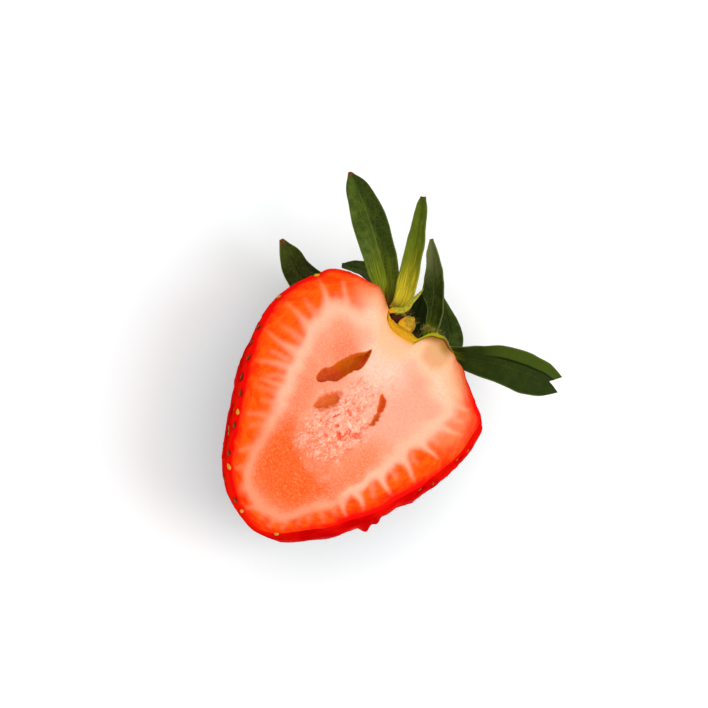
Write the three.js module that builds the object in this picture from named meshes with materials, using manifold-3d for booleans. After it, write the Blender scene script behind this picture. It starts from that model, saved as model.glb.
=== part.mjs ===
// A strawberry cut in half lengthwise, lying on its rounded back with the cut face up.
// Millimetres. +X runs across the fruit, +Y from its tip to its stem, +Z up out of the cut face.
// The origin is the middle of the small flat spot that the fruit rests on.
//
// Nodes: the flesh with its seeds, the calyx cup with the stub of the stem, and one node for each sepal.
import * as THREE from 'three';
import { ConvexHull } from 'three/addons/math/ConvexHull.js';
import { mergeVertices } from 'three/addons/utils/BufferGeometryUtils.js';
import Module from 'manifold-3d';

const wasm = await Module();
wasm.setup();

// ---- Driving dimensions -------------------------------------------------------------------------

const CUT_ABOVE_AXIS = 5; // the knife passed this far above the fruit's own axis
const AXIS_HEIGHT = 19.5; // of the fruit's axis above the table
const CUT_HEIGHT = AXIS_HEIGHT + CUT_ABOVE_AXIS;
const HEART = new THREE.Vector3(0, -0.6, AXIS_HEIGHT); // the point that the radii below start from
const FAR = 200; // longer than anything here
const GAP = 0.3; // left between pieces that touch

// The fruit's outline, as [degrees from the tip, radius] on each side and down its back.
const RIGHT_SIDE = [
  [0, 28], [12, 27.9], [19, 26.8], [25, 25], [33, 23], [46, 21.5], [60, 20.4], [74, 20], [88, 20.4],
  [103, 21.7], [122, 24.4], [130, 25.5], [140, 24.3], [152, 23.8], [165, 23.2], [180, 22.5],
];
const LEFT_SIDE = [
  [0, 27.8], [10, 27.2], [17, 25.6], [26, 23.4], [32, 22.1], [41, 20.8], [52, 20], [63, 20],
  [83, 21.4], [105, 24.4], [119, 25.7], [130, 27], [140, 25.9], [150, 24.5], [165, 23], [180, 22.5],
];
const BACK = [
  [0, 28], [12, 27.3], [25, 24], [40, 21.4], [60, 20], [80, 19.8], [95, 19.9], [110, 20.4], [130, 22],
  [150, 22.6], [180, 22.5],
];

// How far the skin swells out of those outlines below the cut, or draws in, where the fruit is widest:
// [degrees round the cut face, swell].
const SWELL = [
  [0, 0.2], [20, 0.7], [40, 0.6], [60, 0.3], [80, 0], [120, 0], [140, -0.4], [160, -0.2], [180, -0.1],
  [200, 0.4], [220, 0.3], [240, 0.1], [260, -1.4], [280, -1.4], [300, 0.3], [320, 0.3], [340, 0],
  [360, 0.2],
];
const SWELL_BAND = { full: 13, fades: 35, gone: 75 }; // degrees below the cut's edge, then below HEART

// The hollow that the calyx sits in.
const DISH = { x: -3, z: CUT_HEIGHT - 3.5, floor: 4.3, rim: 6.2, depth: 5 };

// Seeds (achenes), each in a pit with a raised lip.
const SEED = {
  onWholeFruit: 620,
  firstTurn: 0.9, // radians, where the spiral starts
  scatter: 0.22, // of the spacing
  crowding: 0.5, // how much closer they stand near the tip and the stem
  length: 1.3,
  width: 0.8,
  stands: 0.35, // of the seed over the floor of its pit
  sinks: 0.5, // of the pit's floor below the skin
  lip: 1.25, // radius of the pit's lip
  lipHeight: 0.12,
  lipSides: 6,
  clearOfCalyx: 153, // degrees from the tip past which none grow
};

// Hollows in the pith that the knife opened, as outlines [x, y] from HEART, and their depth.
const PITH_HOLLOWS = [
  {
    depth: 3.2,
    outline: [[-7.2, 0.2], [-7.3, 3.9], [-6.4, 6.8], [-5.7, 9.2], [-4.1, 11.2], [-3.3, 7.8], [-4.2, 4.4]],
  },
  { depth: 1.6, outline: [[-3.9, -3.6], [-4.1, -1.9], [-3.7, 0], [-2.8, 1.3], [-2.4, 0.1], [-3, -2.5]] },
  { depth: 1.8, outline: [[2.8, 7.1], [4.3, 6.3], [5.3, 4.5], [5.9, 1.1], [4.4, 2.9], [4.1, 5]] },
];

// The calyx cup, turned about a line along Y through the dish: [radius, height over the dish's floor].
const CUP = {
  floorY: 17.6, // from HEART
  under: [[0, 0], [4.2, 0.1], [5.6, 1.5], [6.3, 3.6]],
  rim: [6.4, 4.3],
  over: [[5.6, 4.2], [4.9, 2.3], [3.9, 1.1], [1.6, 0.9]],
  stub: [[1.4, 2.9], [0.8, 3.6], [0, 3.6]],
  sides: 28,
};

// The collar of the calyx, which hugs the shoulder of the fruit round the cup and carries the sepals.
const COLLAR = { x: 0.2, radius: 8.7, thickness: 0.8, sides: 40 };

// Sepals. spine: points [x, y, z] from HEART's x and y and from the cut face, base first.
// halfWidths: along the spine, evenly spaced. faces: the way that the blade's inner side looks.
// curl: degrees that half the blade's width bends round, at base and tip.
// notch: how far the middle of the tip is drawn back between its two points.
const BLADE_THICKNESS = 0.7;
const SEPALS = [
  {
    name: 'sepal_tall',
    spine: [
      [-9.2, 20.9, -2.8], [-11, 22.8, -1.6], [-14.4, 25.1, -0.8],
      [-19.4, 28.1, -0.3], [-25.1, 31.2, -0.6], [-30.6, 33.9, -2],
    ],
    halfWidths: [1.1, 2.2, 3, 3.35, 3.4, 3.2, 2.8, 2.1, 0.3],
    faces: [0.1, -0.25, 1], curl: [45, 16], colour: 0x2f5a22,
  },
  {
    name: 'sepal_curled',
    spine: [
      [-5.9, 22.4, -1.7], [-7.5, 24.8, -0.4], [-9.9, 28.5, 0.8],
      [-12.6, 32.6, 1.4], [-15.3, 36.6, 1.2], [-17.4, 39.6, 0],
    ],
    halfWidths: [1.2, 1.9, 2.1, 1.85, 1.75, 1.6, 1.35, 1.1, 0.5],
    faces: [-0.2, -0.2, 1], curl: [55, 75], colour: 0x7d9430,
  },
  {
    name: 'sepal_folded',
    spine: [
      [1.4, 21.2, -9.6], [0.4, 23.4, -9.2], [-1.9, 27.6, -9.2],
      [-5, 31.9, -9.8], [-8.4, 35.5, -10.6], [-11.6, 38.7, -11.2],
    ],
    halfWidths: [1.5, 2.2, 2.5, 2.3, 1.9, 1.4, 0.9, 0.3],
    faces: [-0.1, -0.2, 1], curl: [48, 80], colour: 0x24421f,
  },
  {
    name: 'sepal_inner',
    spine: [
      [4.2, 21.2, -9.2], [5, 24.4, -10.4], [3.7, 27.6, -12.2],
      [0.5, 30.7, -14], [-3.1, 33.1, -15.2],
    ],
    halfWidths: [1.4, 2.6, 3, 2.5, 1.5, 0.3],
    faces: [0.3, -0.3, 1], curl: [30, 20], colour: 0x2c4f2a,
  },
  {
    name: 'sepal_notched',
    spine: [
      [5.6, 22.3, -4.6], [8, 23.2, -4], [10.8, 24.9, -3.2],
      [15, 27.4, -2.6], [20, 29.9, -2.8], [25.1, 32.8, -4.2],
    ],
    halfWidths: [0.8, 1.6, 2.6, 3.4, 3.8, 3.9, 3.5, 2.1],
    faces: [0.1, -0.25, 1], curl: [35, 20], notch: 1.4, colour: 0x2d5228,
  },
  {
    name: 'sepal_left_upper',
    spine: [[-8.6, 21, -6.5], [-11.4, 23.6, -7.4], [-15.8, 24, -7.6], [-20.2, 21.9, -7.2]],
    halfWidths: [1, 1.9, 2.3, 1.9, 1.2, 0.3],
    faces: [-0.3, 0.5, 0.9], curl: [20, 25], colour: 0x2f5226,
  },
  {
    name: 'sepal_left_lower',
    spine: [
      [-7.6, 21.3, -9.8], [-12.9, 21.6, -15.8], [-17, 19.2, -18.3], [-21.3, 17.2, -17.3],
      [-24.8, 16, -14], [-28.5, 16.2, -9.5], [-31.1, 16.6, -7],
    ],
    halfWidths: [0.9, 1.5, 2.4, 3.2, 3.6, 3.5, 3.1, 2.4, 0.4],
    faces: [0.1, 0.1, 1], curl: [20, 14], colour: 0x36512f,
  },
];

// ---- Small helpers ------------------------------------------------------------------------------

const radians = THREE.MathUtils.degToRad;

// A smooth value at x through rows [x, value], by cubic pieces.
function along(rows, x) {
  const last = rows.length - 1;
  let i = rows.findIndex((row) => row[0] > x) - 1;
  if (i < 0) i = last - 1;
  const slope = (k) => {
    const a = rows[Math.max(k - 1, 0)];
    const b = rows[Math.min(k + 1, last)];
    return (b[1] - a[1]) / (b[0] - a[0]);
  };
  const [x0, y0] = rows[i];
  const [x1, y1] = rows[i + 1];
  const w = x1 - x0;
  const t = Math.min((x - x0) / w, 1);
  const t2 = t * t;
  const t3 = t2 * t;
  return (2 * t3 - 3 * t2 + 1) * y0 + (t3 - 2 * t2 + t) * w * slope(i)
    + (3 * t2 - 2 * t3) * y1 + (t3 - t2) * w * slope(i + 1);
}

// A repeatable draw between -1 and 1 for a whole number.
function draw(n) {
  const s = Math.sin(n * 127.1 + 311.7) * 43758.5453;
  return 2 * (s - Math.floor(s)) - 1;
}

function solidOf(geometry) {
  const plain = geometry.index ? geometry.clone() : geometry;
  plain.deleteAttribute('normal');
  plain.deleteAttribute('uv');
  const merged = mergeVertices(plain, 1e-4);
  return new wasm.Manifold(new wasm.Mesh({
    numProp: 3,
    vertProperties: new Float32Array(merged.attributes.position.array),
    triVerts: new Uint32Array(merged.index.array),
  }));
}

function geometryOf(solid) {
  const mesh = solid.getMesh();
  const geometry = new THREE.BufferGeometry();
  geometry.setAttribute('position', new THREE.BufferAttribute(new Float32Array(mesh.vertProperties), 3));
  geometry.setIndex(new THREE.BufferAttribute(new Uint32Array(mesh.triVerts), 1));
  return geometry;
}

// The biggest of a solid's bodies: the knife leaves crumbs of seeds, which are dropped.
function largestBody(solid) {
  return solid.decompose().reduce((a, b) => (b.volume() > a.volume() ? b : a));
}

// A block that fills all space over a height (or under it).
function blockOver(height) {
  return solidOf(new THREE.BoxGeometry(FAR, FAR, FAR).translate(0, 0, height + FAR / 2));
}

function blockUnder(height) {
  return solidOf(new THREE.BoxGeometry(FAR, FAR, FAR).translate(0, 0, height - FAR / 2));
}

function meshOf(name, geometry, colour, roughness) {
  const material = new THREE.MeshStandardMaterial({ color: colour, roughness, metalness: 0 });
  const mesh = new THREE.Mesh(geometry, material);
  mesh.name = name;
  return mesh;
}

// ---- The flesh ----------------------------------------------------------------------------------

// How far the skin swells in a direction, where the outline's own radius is side.
function swell({ x, y, z }, side) {
  const { radToDeg, smoothstep } = THREE.MathUtils;
  const turn = (radToDeg(Math.atan2(y, x)) + 360) % 360;
  const drop = -radToDeg(Math.asin(z));
  const underEdge = drop + radToDeg(Math.asin(CUT_ABOVE_AXIS / side));
  const share = smoothstep(underEdge, 0, SWELL_BAND.full)
    * (1 - smoothstep(drop, SWELL_BAND.fades, SWELL_BAND.gone));
  return along(SWELL, turn) * share;
}

// The skin's radius in a direction from HEART, without pits and seeds.
function skinRadius(direction) {
  const { x, y, z } = direction;
  const degrees = THREE.MathUtils.radToDeg(Math.acos(THREE.MathUtils.clamp(-y, -1, 1)));
  const across = Math.hypot(x, z) || 1;
  const rightShare = (1 + x / across) / 2;
  const backShare = z < 0 ? (z / across) ** 2 : 0;
  const side = along(RIGHT_SIDE, degrees) * rightShare + along(LEFT_SIDE, degrees) * (1 - rightShare);
  const radius = side * (1 - backShare) + along(BACK, degrees) * backShare + swell(direction, side);
  if (y < 0) return radius;
  const fromDish = Math.hypot(x * radius - DISH.x, z * radius + HEART.z - DISH.z);
  const inDish = 1 - THREE.MathUtils.smoothstep(fromDish, DISH.floor, DISH.rim);
  return radius - DISH.depth * inDish;
}

function directionAt(fromTip, turn) {
  return new THREE.Vector3(
    Math.sin(fromTip) * Math.cos(turn), -Math.cos(fromTip), Math.sin(fromTip) * Math.sin(turn));
}

// The seeds' directions: a spiral from tip to stem, with each seed given its share of the skin.
function seedDirections() {
  const steps = 720;
  const share = [0];
  for (let k = 1; k <= steps; k += 1) {
    const angle = (Math.PI * (k - 0.5)) / steps;
    const radius = along(BACK, THREE.MathUtils.radToDeg(angle));
    const crowd = 1 + SEED.crowding * Math.cos(angle) ** 4;
    share.push(share[k - 1] + radius * radius * Math.sin(angle) * crowd);
  }
  const goldenAngle = Math.PI * (3 - Math.sqrt(5));
  const found = [];
  let k = 0;
  for (let n = 0; n < SEED.onWholeFruit; n += 1) {
    const wanted = (share[steps] * (n + 0.5)) / SEED.onWholeFruit;
    while (share[k + 1] < wanted) k += 1;
    const part = (wanted - share[k]) / (share[k + 1] - share[k]);
    const spacing = Math.sqrt((4 * Math.PI) / SEED.onWholeFruit);
    const fromTip = (Math.PI * (k + part)) / steps + SEED.scatter * spacing * draw(n);
    const turn = SEED.firstTurn + n * goldenAngle
      + (SEED.scatter * spacing * draw(n + 0.5)) / Math.max(Math.sin(fromTip), 0.2);
    found.push(directionAt(Math.abs(fromTip), turn));
  }
  return found;
}

// Points round a seed, at distances along and across it, as directions.
function ringRound(direction, along_, across, sides, start) {
  const radius = skinRadius(direction);
  const toStem = new THREE.Vector3(0, 1, 0).addScaledVector(direction, -direction.y).normalize();
  const sideways = new THREE.Vector3().crossVectors(toStem, direction);
  return Array.from({ length: sides }, (_, i) => {
    const a = start + (2 * Math.PI * i) / sides;
    return direction.clone()
      .addScaledVector(toStem, (along_ * Math.cos(a)) / radius)
      .addScaledVector(sideways, (across * Math.sin(a)) / radius)
      .normalize();
  });
}

// The whole fruit, grown by a clearance: the skin pulled over every seed, its foot and its pit's lip.
function wholeFruit(clearance) {
  const points = [];
  const add = (direction, lift) => points.push({ direction, lift });
  for (const seed of seedDirections()) {
    if (Math.acos(-seed.y) > radians(SEED.clearOfCalyx)) continue;
    add(seed, SEED.stands - SEED.sinks);
    for (const p of ringRound(seed, SEED.length / 2, SEED.width / 2, 4, 0)) add(p, -SEED.sinks);
    for (const p of ringRound(seed, SEED.lip, SEED.lip, SEED.lipSides, 0.3)) add(p, SEED.lipHeight);
  }
  for (let fromTip = SEED.clearOfCalyx + 2; fromTip < 180; fromTip += 3) {
    const count = Math.round(2 + (180 - fromTip) * 1.6);
    for (let i = 0; i < count; i += 1) {
      add(directionAt(radians(fromTip), (2 * Math.PI * (i + (fromTip % 2) / 2)) / count), 0);
    }
  }
  const index = new Map();
  const position = [];
  points.forEach((point, i) => {
    index.set(point.direction, i);
    const radius = skinRadius(point.direction) + point.lift + clearance;
    position.push(...point.direction.clone().multiplyScalar(radius).add(HEART).toArray());
  });
  const triangles = [];
  for (const face of new ConvexHull().setFromPoints(points.map((p) => p.direction)).faces) {
    let edge = face.edge;
    do {
      triangles.push(index.get(edge.head().point));
      edge = edge.next;
    } while (edge !== face.edge);
  }
  const geometry = new THREE.BufferGeometry();
  geometry.setAttribute('position', new THREE.Float32BufferAttribute(position, 3));
  geometry.setIndex(triangles);
  return solidOf(geometry);
}

// A hollow of the pith: its outline sunk into the cut face.
function pithHollow({ outline, depth }) {
  const shape = new THREE.Shape();
  const corners = [...outline, outline[0]].map(([x, y]) => new THREE.Vector2(x, y));
  shape.setFromPoints(new THREE.SplineCurve(corners).getPoints(outline.length * 3).slice(0, -1));
  const geometry = new THREE.ExtrudeGeometry(shape, { depth: depth * 2, bevelEnabled: false });
  return solidOf(geometry.translate(HEART.x, HEART.y, CUT_HEIGHT - depth));
}

function halfFruit() {
  let fruit = wholeFruit(0).subtract(blockOver(CUT_HEIGHT)).subtract(blockUnder(0));
  fruit = fruit.subtract(calyxCup(GAP));
  for (const hollow of PITH_HOLLOWS) fruit = fruit.subtract(pithHollow(hollow));
  return largestBody(fruit);
}

// ---- The calyx ----------------------------------------------------------------------------------

// The cup with the stub of the stem, grown on all sides by a clearance.
function calyxCup(clearance) {
  const grow = ([r, h], outward, upward) => (
    new THREE.Vector2(r ? r + outward * clearance : 0, h + upward * clearance));
  const profile = [
    ...CUP.under.map((point) => grow(point, 1, -1)),
    grow(CUP.rim, 1, 1),
    ...CUP.over.map((point) => grow(point, -0.5, 1)),
    ...CUP.stub.map((point) => grow(point, 1, 1)),
  ];
  const lathe = new THREE.LatheGeometry(profile, CUP.sides).translate(DISH.x, HEART.y + CUP.floorY, DISH.z);
  return solidOf(lathe).subtract(blockOver(CUT_HEIGHT));
}

// The collar, grown by a clearance: a shell over the skin round the dish, inside a cylinder along Y.
function calyxCollar(clearance) {
  const alongY = (radius, x, z) => solidOf(
    new THREE.CylinderGeometry(radius, radius, FAR, COLLAR.sides).translate(x, HEART.y + FAR / 2, z));
  return wholeFruit(GAP + COLLAR.thickness + clearance)
    .subtract(wholeFruit(GAP - clearance))
    .subtract(blockOver(CUT_HEIGHT))
    .subtract(alongY(DISH.rim - clearance, DISH.x, DISH.z))
    .intersect(alongY(COLLAR.radius + clearance, COLLAR.x, HEART.z));
}

function calyx(clearance) {
  return calyxCup(clearance).add(calyxCollar(clearance));
}

// One sepal: a curled blade along its spine, the same split into triangles on both faces.
function sepal({ spine, halfWidths, faces, curl, notch = 0 }) {
  const line = new THREE.CatmullRomCurve3(spine.map(([x, y, z]) => (
    new THREE.Vector3(x + HEART.x, y + HEART.y, z + CUT_HEIGHT))));
  const rows = Math.round(line.getLength() / 1.6);
  const columns = 6;
  const widths = halfWidths.map((w, i) => [i / (halfWidths.length - 1), w]);
  const inward = new THREE.Vector3(...faces).normalize();
  const sides = [[], []];
  for (let i = 0; i <= rows; i += 1) {
    const u = i / rows;
    const middle = line.getPointAt(u);
    const forward = line.getTangentAt(u);
    const sideways = new THREE.Vector3().crossVectors(forward, inward).normalize();
    const normal = new THREE.Vector3().crossVectors(sideways, forward).normalize();
    const drawnBack = notch * THREE.MathUtils.smoothstep(u, 0.75, 1);
    const half = Math.max(along(widths, u), 0.3);
    const bend = radians(curl[0] + (curl[1] - curl[0]) * u);
    const roundness = half / bend;
    for (let j = 0; j <= columns; j += 1) {
      const across = (2 * j) / columns - 1;
      const a = bend * across;
      [0.5, -0.5].forEach((side, k) => {
        const r = roundness - side * BLADE_THICKNESS;
        sides[k].push(middle.clone()
          .addScaledVector(sideways, Math.sin(a) * r)
          .addScaledVector(normal, roundness - Math.cos(a) * r)
          .addScaledVector(forward, -drawnBack * (1 - Math.abs(across))));
      });
    }
  }
  const rowLength = columns + 1;
  const count = sides[0].length;
  const triangles = [];
  const quad = (a, b, c, d) => triangles.push(a, b, c, a, c, d);
  for (let i = 0; i < rows; i += 1) {
    for (let j = 0; j < columns; j += 1) {
      const a = i * rowLength + j;
      const b = a + rowLength;
      quad(a, a + 1, b + 1, b);
      triangles.push(count + a, count + b + 1, count + a + 1);
      triangles.push(count + a, count + b, count + b + 1);
    }
  }
  const edge = [];
  for (let j = 0; j < columns; j += 1) edge.push(j);
  for (let i = 0; i < rows; i += 1) edge.push(i * rowLength + columns);
  for (let j = columns; j > 0; j -= 1) edge.push(rows * rowLength + j);
  for (let i = rows; i > 0; i -= 1) edge.push(i * rowLength);
  edge.forEach((a, n) => {
    const b = edge[(n + 1) % edge.length];
    quad(b, a, count + a, count + b);
  });
  const geometry = new THREE.BufferGeometry().setFromPoints([...sides[0], ...sides[1]]);
  geometry.setIndex(triangles);
  return solidOf(geometry);
}

// ---- The assembly -------------------------------------------------------------------------------

const group = new THREE.Group();
group.add(meshOf('flesh_half', geometryOf(halfFruit()), 0xd8322a, 0.35));
group.add(meshOf('calyx_cup', geometryOf(largestBody(calyx(0))), 0xb8a53c, 0.6));
const roomForSepals = wholeFruit(GAP).subtract(blockOver(CUT_HEIGHT + GAP)).add(calyx(GAP));
for (const one of SEPALS) {
  const blade = largestBody(sepal(one).subtract(roomForSepals));
  group.add(meshOf(one.name, geometryOf(blade), one.colour, 0.6));
}
export default group;
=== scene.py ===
"""Dresses a halved strawberry: its cut face, skin, seeds, calyx, sepals, hairs, floor and light.

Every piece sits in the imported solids' frame. Tables are in millimetres from HEART, the point inside the
fruit that its radii start from: +X across the fruit, +Y towards the stem, and heights from the cut face.
"""

import itertools
import math
from types import SimpleNamespace

import bmesh
import bpy
import numpy as np
from bpy.props import FloatProperty, FloatVectorProperty, PointerProperty
from mathutils import Matrix, Vector


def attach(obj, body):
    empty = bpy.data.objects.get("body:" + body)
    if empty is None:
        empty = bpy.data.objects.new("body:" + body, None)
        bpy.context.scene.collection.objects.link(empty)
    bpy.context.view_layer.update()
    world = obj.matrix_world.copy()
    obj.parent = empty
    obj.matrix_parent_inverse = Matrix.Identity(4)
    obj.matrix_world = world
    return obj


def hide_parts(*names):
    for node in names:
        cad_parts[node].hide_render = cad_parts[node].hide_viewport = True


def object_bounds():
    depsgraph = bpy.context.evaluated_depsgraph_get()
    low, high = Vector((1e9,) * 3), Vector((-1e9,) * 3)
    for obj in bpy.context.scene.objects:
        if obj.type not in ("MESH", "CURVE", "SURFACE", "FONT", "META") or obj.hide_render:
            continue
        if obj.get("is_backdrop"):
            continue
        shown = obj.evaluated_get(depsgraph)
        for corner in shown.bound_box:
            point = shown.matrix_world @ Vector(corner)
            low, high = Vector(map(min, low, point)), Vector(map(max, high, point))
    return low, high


bl_info = {
    "name": "Halved strawberry",
    "version": (1, 0, 0),
    "blender": (4, 5, 0),
    "location": "3D View > Sidebar > Strawberry",
    "description": "Builds the flesh, seeds, calyx and sepals of a halved strawberry",
    "category": "Object",
}

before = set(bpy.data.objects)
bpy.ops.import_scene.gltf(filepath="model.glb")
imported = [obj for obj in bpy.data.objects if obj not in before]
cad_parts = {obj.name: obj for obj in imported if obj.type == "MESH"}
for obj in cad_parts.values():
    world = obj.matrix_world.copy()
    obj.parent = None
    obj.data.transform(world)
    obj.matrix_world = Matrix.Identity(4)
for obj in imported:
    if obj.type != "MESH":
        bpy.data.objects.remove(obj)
CAD_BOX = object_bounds()

MM = 0.001
HEART = np.array([0.0, -0.6, 19.5])  # in the frame, millimetres
CUT_ABOVE_HEART = 5.0
CUT_HEIGHT = HEART[2] + CUT_ABOVE_HEART
MEAN_RADIUS = 22  # of the fruit, to turn a length along its skin into an angle
RIM_STEPS, LINE_STEPS, OUTLINE_STEPS = 480, 240, 48  # points on smooth lines

# ---- Shape tables -------------------------------------------------------------------------------

# The fruit's outline, as [degrees from the tip, radius] on each side and down its back.
RIGHT_SIDE = [
    [0, 28], [12, 27.9], [19, 26.8], [25, 25], [33, 23], [46, 21.5], [60, 20.4], [74, 20], [88, 20.4],
    [103, 21.7], [122, 24.4], [130, 25.5], [140, 24.3], [152, 23.8], [165, 23.2], [180, 22.5],
]
LEFT_SIDE = [
    [0, 27.8], [10, 27.2], [17, 25.6], [26, 23.4], [32, 22.1], [41, 20.8], [52, 20], [63, 20],
    [83, 21.4], [105, 24.4], [119, 25.7], [130, 27], [140, 25.9], [150, 24.5], [165, 23], [180, 22.5],
]
BACK = [
    [0, 28], [12, 27.3], [25, 24], [40, 21.4], [60, 20], [80, 19.8], [95, 19.9], [110, 20.4], [130, 22],
    [150, 22.6], [180, 22.5],
]
# How far the skin swells out of those outlines below the cut: [degrees round the cut face, swell].
SWELL = [
    [0, 0.3], [20, 0.7], [37, 0.8], [45, 0.1], [56, 0.3], [80, 0], [120, 0], [138, -0.4], [147, -0.8],
    [160, -0.2], [180, -0.1], [200, 0.4], [220, 0.3], [240, 0.1], [258, -1.4], [268, -1.7],
    [276, -1.1], [284, -1.1], [298, 0.3], [309, 0.8], [320, 0.15], [330, 0.2], [344, -0.2], [353, 0.5],
    [360, 0.3],
]
SWELL_BAND = {"full": 13, "fades": 35, "gone": 75}  # degrees below the cut's edge, then below HEART
# The dish at the stem: its middle (z from the cut face), the radii of its floor and rim, its depth.
DISH = {"x": -3, "z": -3.5, "floor": 4.3, "rim": 6.2, "depth": 5}

# The edge of the cut face, once round from the dish past the left shoulder and the tip.
RIM = [
    [0.6, 18.2], [-1.6, 17.5], [-4, 17.2], [-6.1, 18], [-7.1, 19.3], [-8.3, 20], [-9.7, 20.8],
    [-11.4, 21.3], [-13, 20.7], [-15.8, 19.9], [-18.3, 18.7], [-20.1, 17.2], [-20.9, 15], [-22, 12.4],
    [-22.8, 9.5], [-23.1, 6.9], [-22.4, 2.2], [-21.4, -0.9], [-19.4, -5], [-17.4, -8.5],
    [-15.2, -11.9], [-13.4, -14.5], [-11.5, -17.3], [-9.9, -19.9], [-8.4, -21.8], [-7, -23.3],
    [-5.3, -24.6], [-2.6, -26.1], [-0.2, -27], [2.3, -27.3], [4.4, -27], [7.1, -25.4], [9.2, -22.9],
    [11.1, -20.4], [12.8, -18.3], [14.6, -14.8], [15.9, -12.5], [16.7, -11], [17.6, -9],
    [18.2, -6.3], [18.9, -3.8], [19.7, -1], [20.1, 2], [20.5, 5.1], [20.7, 8.9], [20.1, 12.8],
    [19.4, 15.8], [18.2, 17], [16.2, 17.9], [14.7, 18.6], [12.7, 19.5], [10.9, 20.6], [9.6, 21.2],
    [8.3, 21.3], [7.4, 21.7], [5.8, 21.9], [4.1, 22.4], [3, 21.9], [1.8, 21.2], [1.2, 20.2],
    [0.9, 19.1],
]

# The pale ring round the pith, as [degrees round the cut face, share of the way from HEART to the rim,
# millimetres over which it fades outwards, how red the flesh is at the skin, how far it fades inwards].
RING = [
    [12, 0.65, 1.9, 0.6, 1], [31, 0.69, 2.2, 0.6, 1], [44, 0.77, 2, 0.95, 1], [54, 0.79, 3, 0.65, 1],
    [66, 0.79, 3.5, 0.35, 1], [95, 0.8, 4, 0.1, 1], [110, 0.79, 3, 0.1, 1], [125, 0.71, 2.4, 0.45, 1],
    [143, 0.7, 3.2, 0.8, 1.3], [167, 0.585, 1.1, 1, 1.2], [192, 0.57, 1.1, 1, 1],
    [219, 0.62, 2.2, 1, 1], [241, 0.7, 2.2, 1, 1], [252, 0.785, 1.8, 1, 1], [262, 0.88, 1.3, 0.9, 1],
    [276, 0.895, 1.2, 0.7, 1], [283, 0.885, 1.2, 0.55, 1], [296, 0.83, 1, 0.6, 0.8],
    [309, 0.8, 1, 0.8, 0.55], [321, 0.755, 0.9, 1, 0.45], [332, 0.71, 1, 1, 0.55],
    [349, 0.69, 1.1, 1, 0.9], [372, 0.65, 1.9, 0.6, 1],
]

# The pale bundles that run out of the ring, as [degrees at the rim, share reached, degrees at the ring,
# strength].
BUNDLES = [
    [145.2, 1.0, 141.3, 0.8], [134.1, 0.95, 132.5, 0.6], [163.7, 0.97, 155, 0.7],
    [154.5, 0.9, 148, 0.3], [171.5, 0.88, 165, 0.35], [180.2, 0.98, 174, 0.75], [188, 0.86, 180, 0.4],
    [196.3, 0.97, 186, 0.6], [203, 0.85, 195, 0.35], [206.4, 0.88, 204, 0.55], [212, 0.92, 209, 0.3],
    [227.5, 0.98, 232.7, 0.6], [220, 0.82, 222, 0.35], [234.5, 0.9, 238.5, 0.4],
    [246.5, 0.96, 250, 0.55], [252.6, 0.97, 258.2, 0.6], [261, 0.99, 266, 0.45],
    [269.9, 0.99, 273.1, 0.75], [277, 0.96, 278, 0.3], [282.1, 0.99, 281.2, 0.4],
    [287, 0.99, 286, 0.45], [292, 0.97, 290.6, 0.35], [296.5, 0.97, 294.8, 0.4],
    [302.9, 0.98, 300.9, 0.4], [309, 0.97, 306.5, 0.35], [315, 1.0, 310.2, 1.0],
    [324.4, 0.97, 320.5, 0.9], [332, 0.9, 331, 0.3], [341, 0.99, 341.2, 1.0],
    [349, 0.86, 351, 0.3], [357, 0.98, 4.4, 0.95], [6, 0.85, 11, 0.3], [14.8, 0.94, 21.8, 1.0],
    [23, 0.84, 27, 0.3], [31.7, 0.98, 33.9, 0.85], [38, 0.9, 41, 0.4], [43.8, 0.95, 49, 0.6],
]

# The torn patch of pith, from under the big hollow towards the tip: its middle and half sizes.
TORN = {"x": 1.1, "y": -2.6, "half_wide": 6.2, "half_long": 11.4}

# Hollows in the pith that the knife opened: depth, how ragged and how soft the edge is, outline.
PITH_HOLLOWS = [
    (3.0, 0.12, 0.1, [
        [-7.8, 0.5], [-7, 0], [-5.7, 1.4], [-4.4, 2.9], [-4.1, 4.2], [-3.6, 6.1], [-3, 7.2], [-3, 8.4],
        [-3.3, 9.6], [-4, 11.5], [-4.7, 10.2], [-5.7, 8.9], [-6.6, 6.6], [-7.1, 4.2], [-7.5, 3.4],
        [-7.9, 2.7], [-8.1, 1.4],
    ]),
    (0.9, 0.3, 0.5, [
        [-2.2, 1.9], [-3.5, 1.4], [-4.6, -0.2], [-5, -2.1], [-4.7, -3.8], [-3.6, -4.2], [-2.3, -3.4],
        [-1.4, -1.8], [-1.3, 0.2],
    ]),
    (1.3, 0.15, 0.15, [
        [2.6, 7.2], [3.8, 6.7], [4.6, 6.3], [5.2, 5], [5.2, 3.8], [4.4, 3.6], [3.9, 4.7], [3.3, 5.8],
    ]),
    (0.9, 0.3, 0.25, [[4.3, 4.1], [5.3, 4.3], [6, 2.9], [6.2, 1.2], [5.7, 0.5], [4.9, 1.6], [4.6, 2.9]]),
]
# Small pits in the torn pith: [x, y, radius along, radius across, degrees, depth].
PITH_PITS = [
    [5.1, -2.2, 1.0, 0.6, 60, 0.7], [2.7, -4.4, 1.0, 0.45, -20, 0.7], [6.0, -4.8, 0.6, 0.2, 50, 0.5],
    [3.2, -2.6, 0.5, 0.3, 20, 0.5], [-0.2, -2.3, 0.8, 0.16, 70, 0.5], [3.3, 9.1, 0.9, 0.3, -30, 0.4],
    [5.1, 0.2, 1.1, 0.35, 80, 0.7], [1.0, -6.2, 0.5, 0.2, 10, 0.4], [-2.0, -12.4, 0.4, 0.25, 40, 0.4],
    [1.9, 10.0, 0.9, 0.3, 80, 0.3], [1.2, -3.4, 0.4, 0.25, 30, 0.5], [3.9, -6.3, 0.4, 0.2, 60, 0.4],
]

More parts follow.
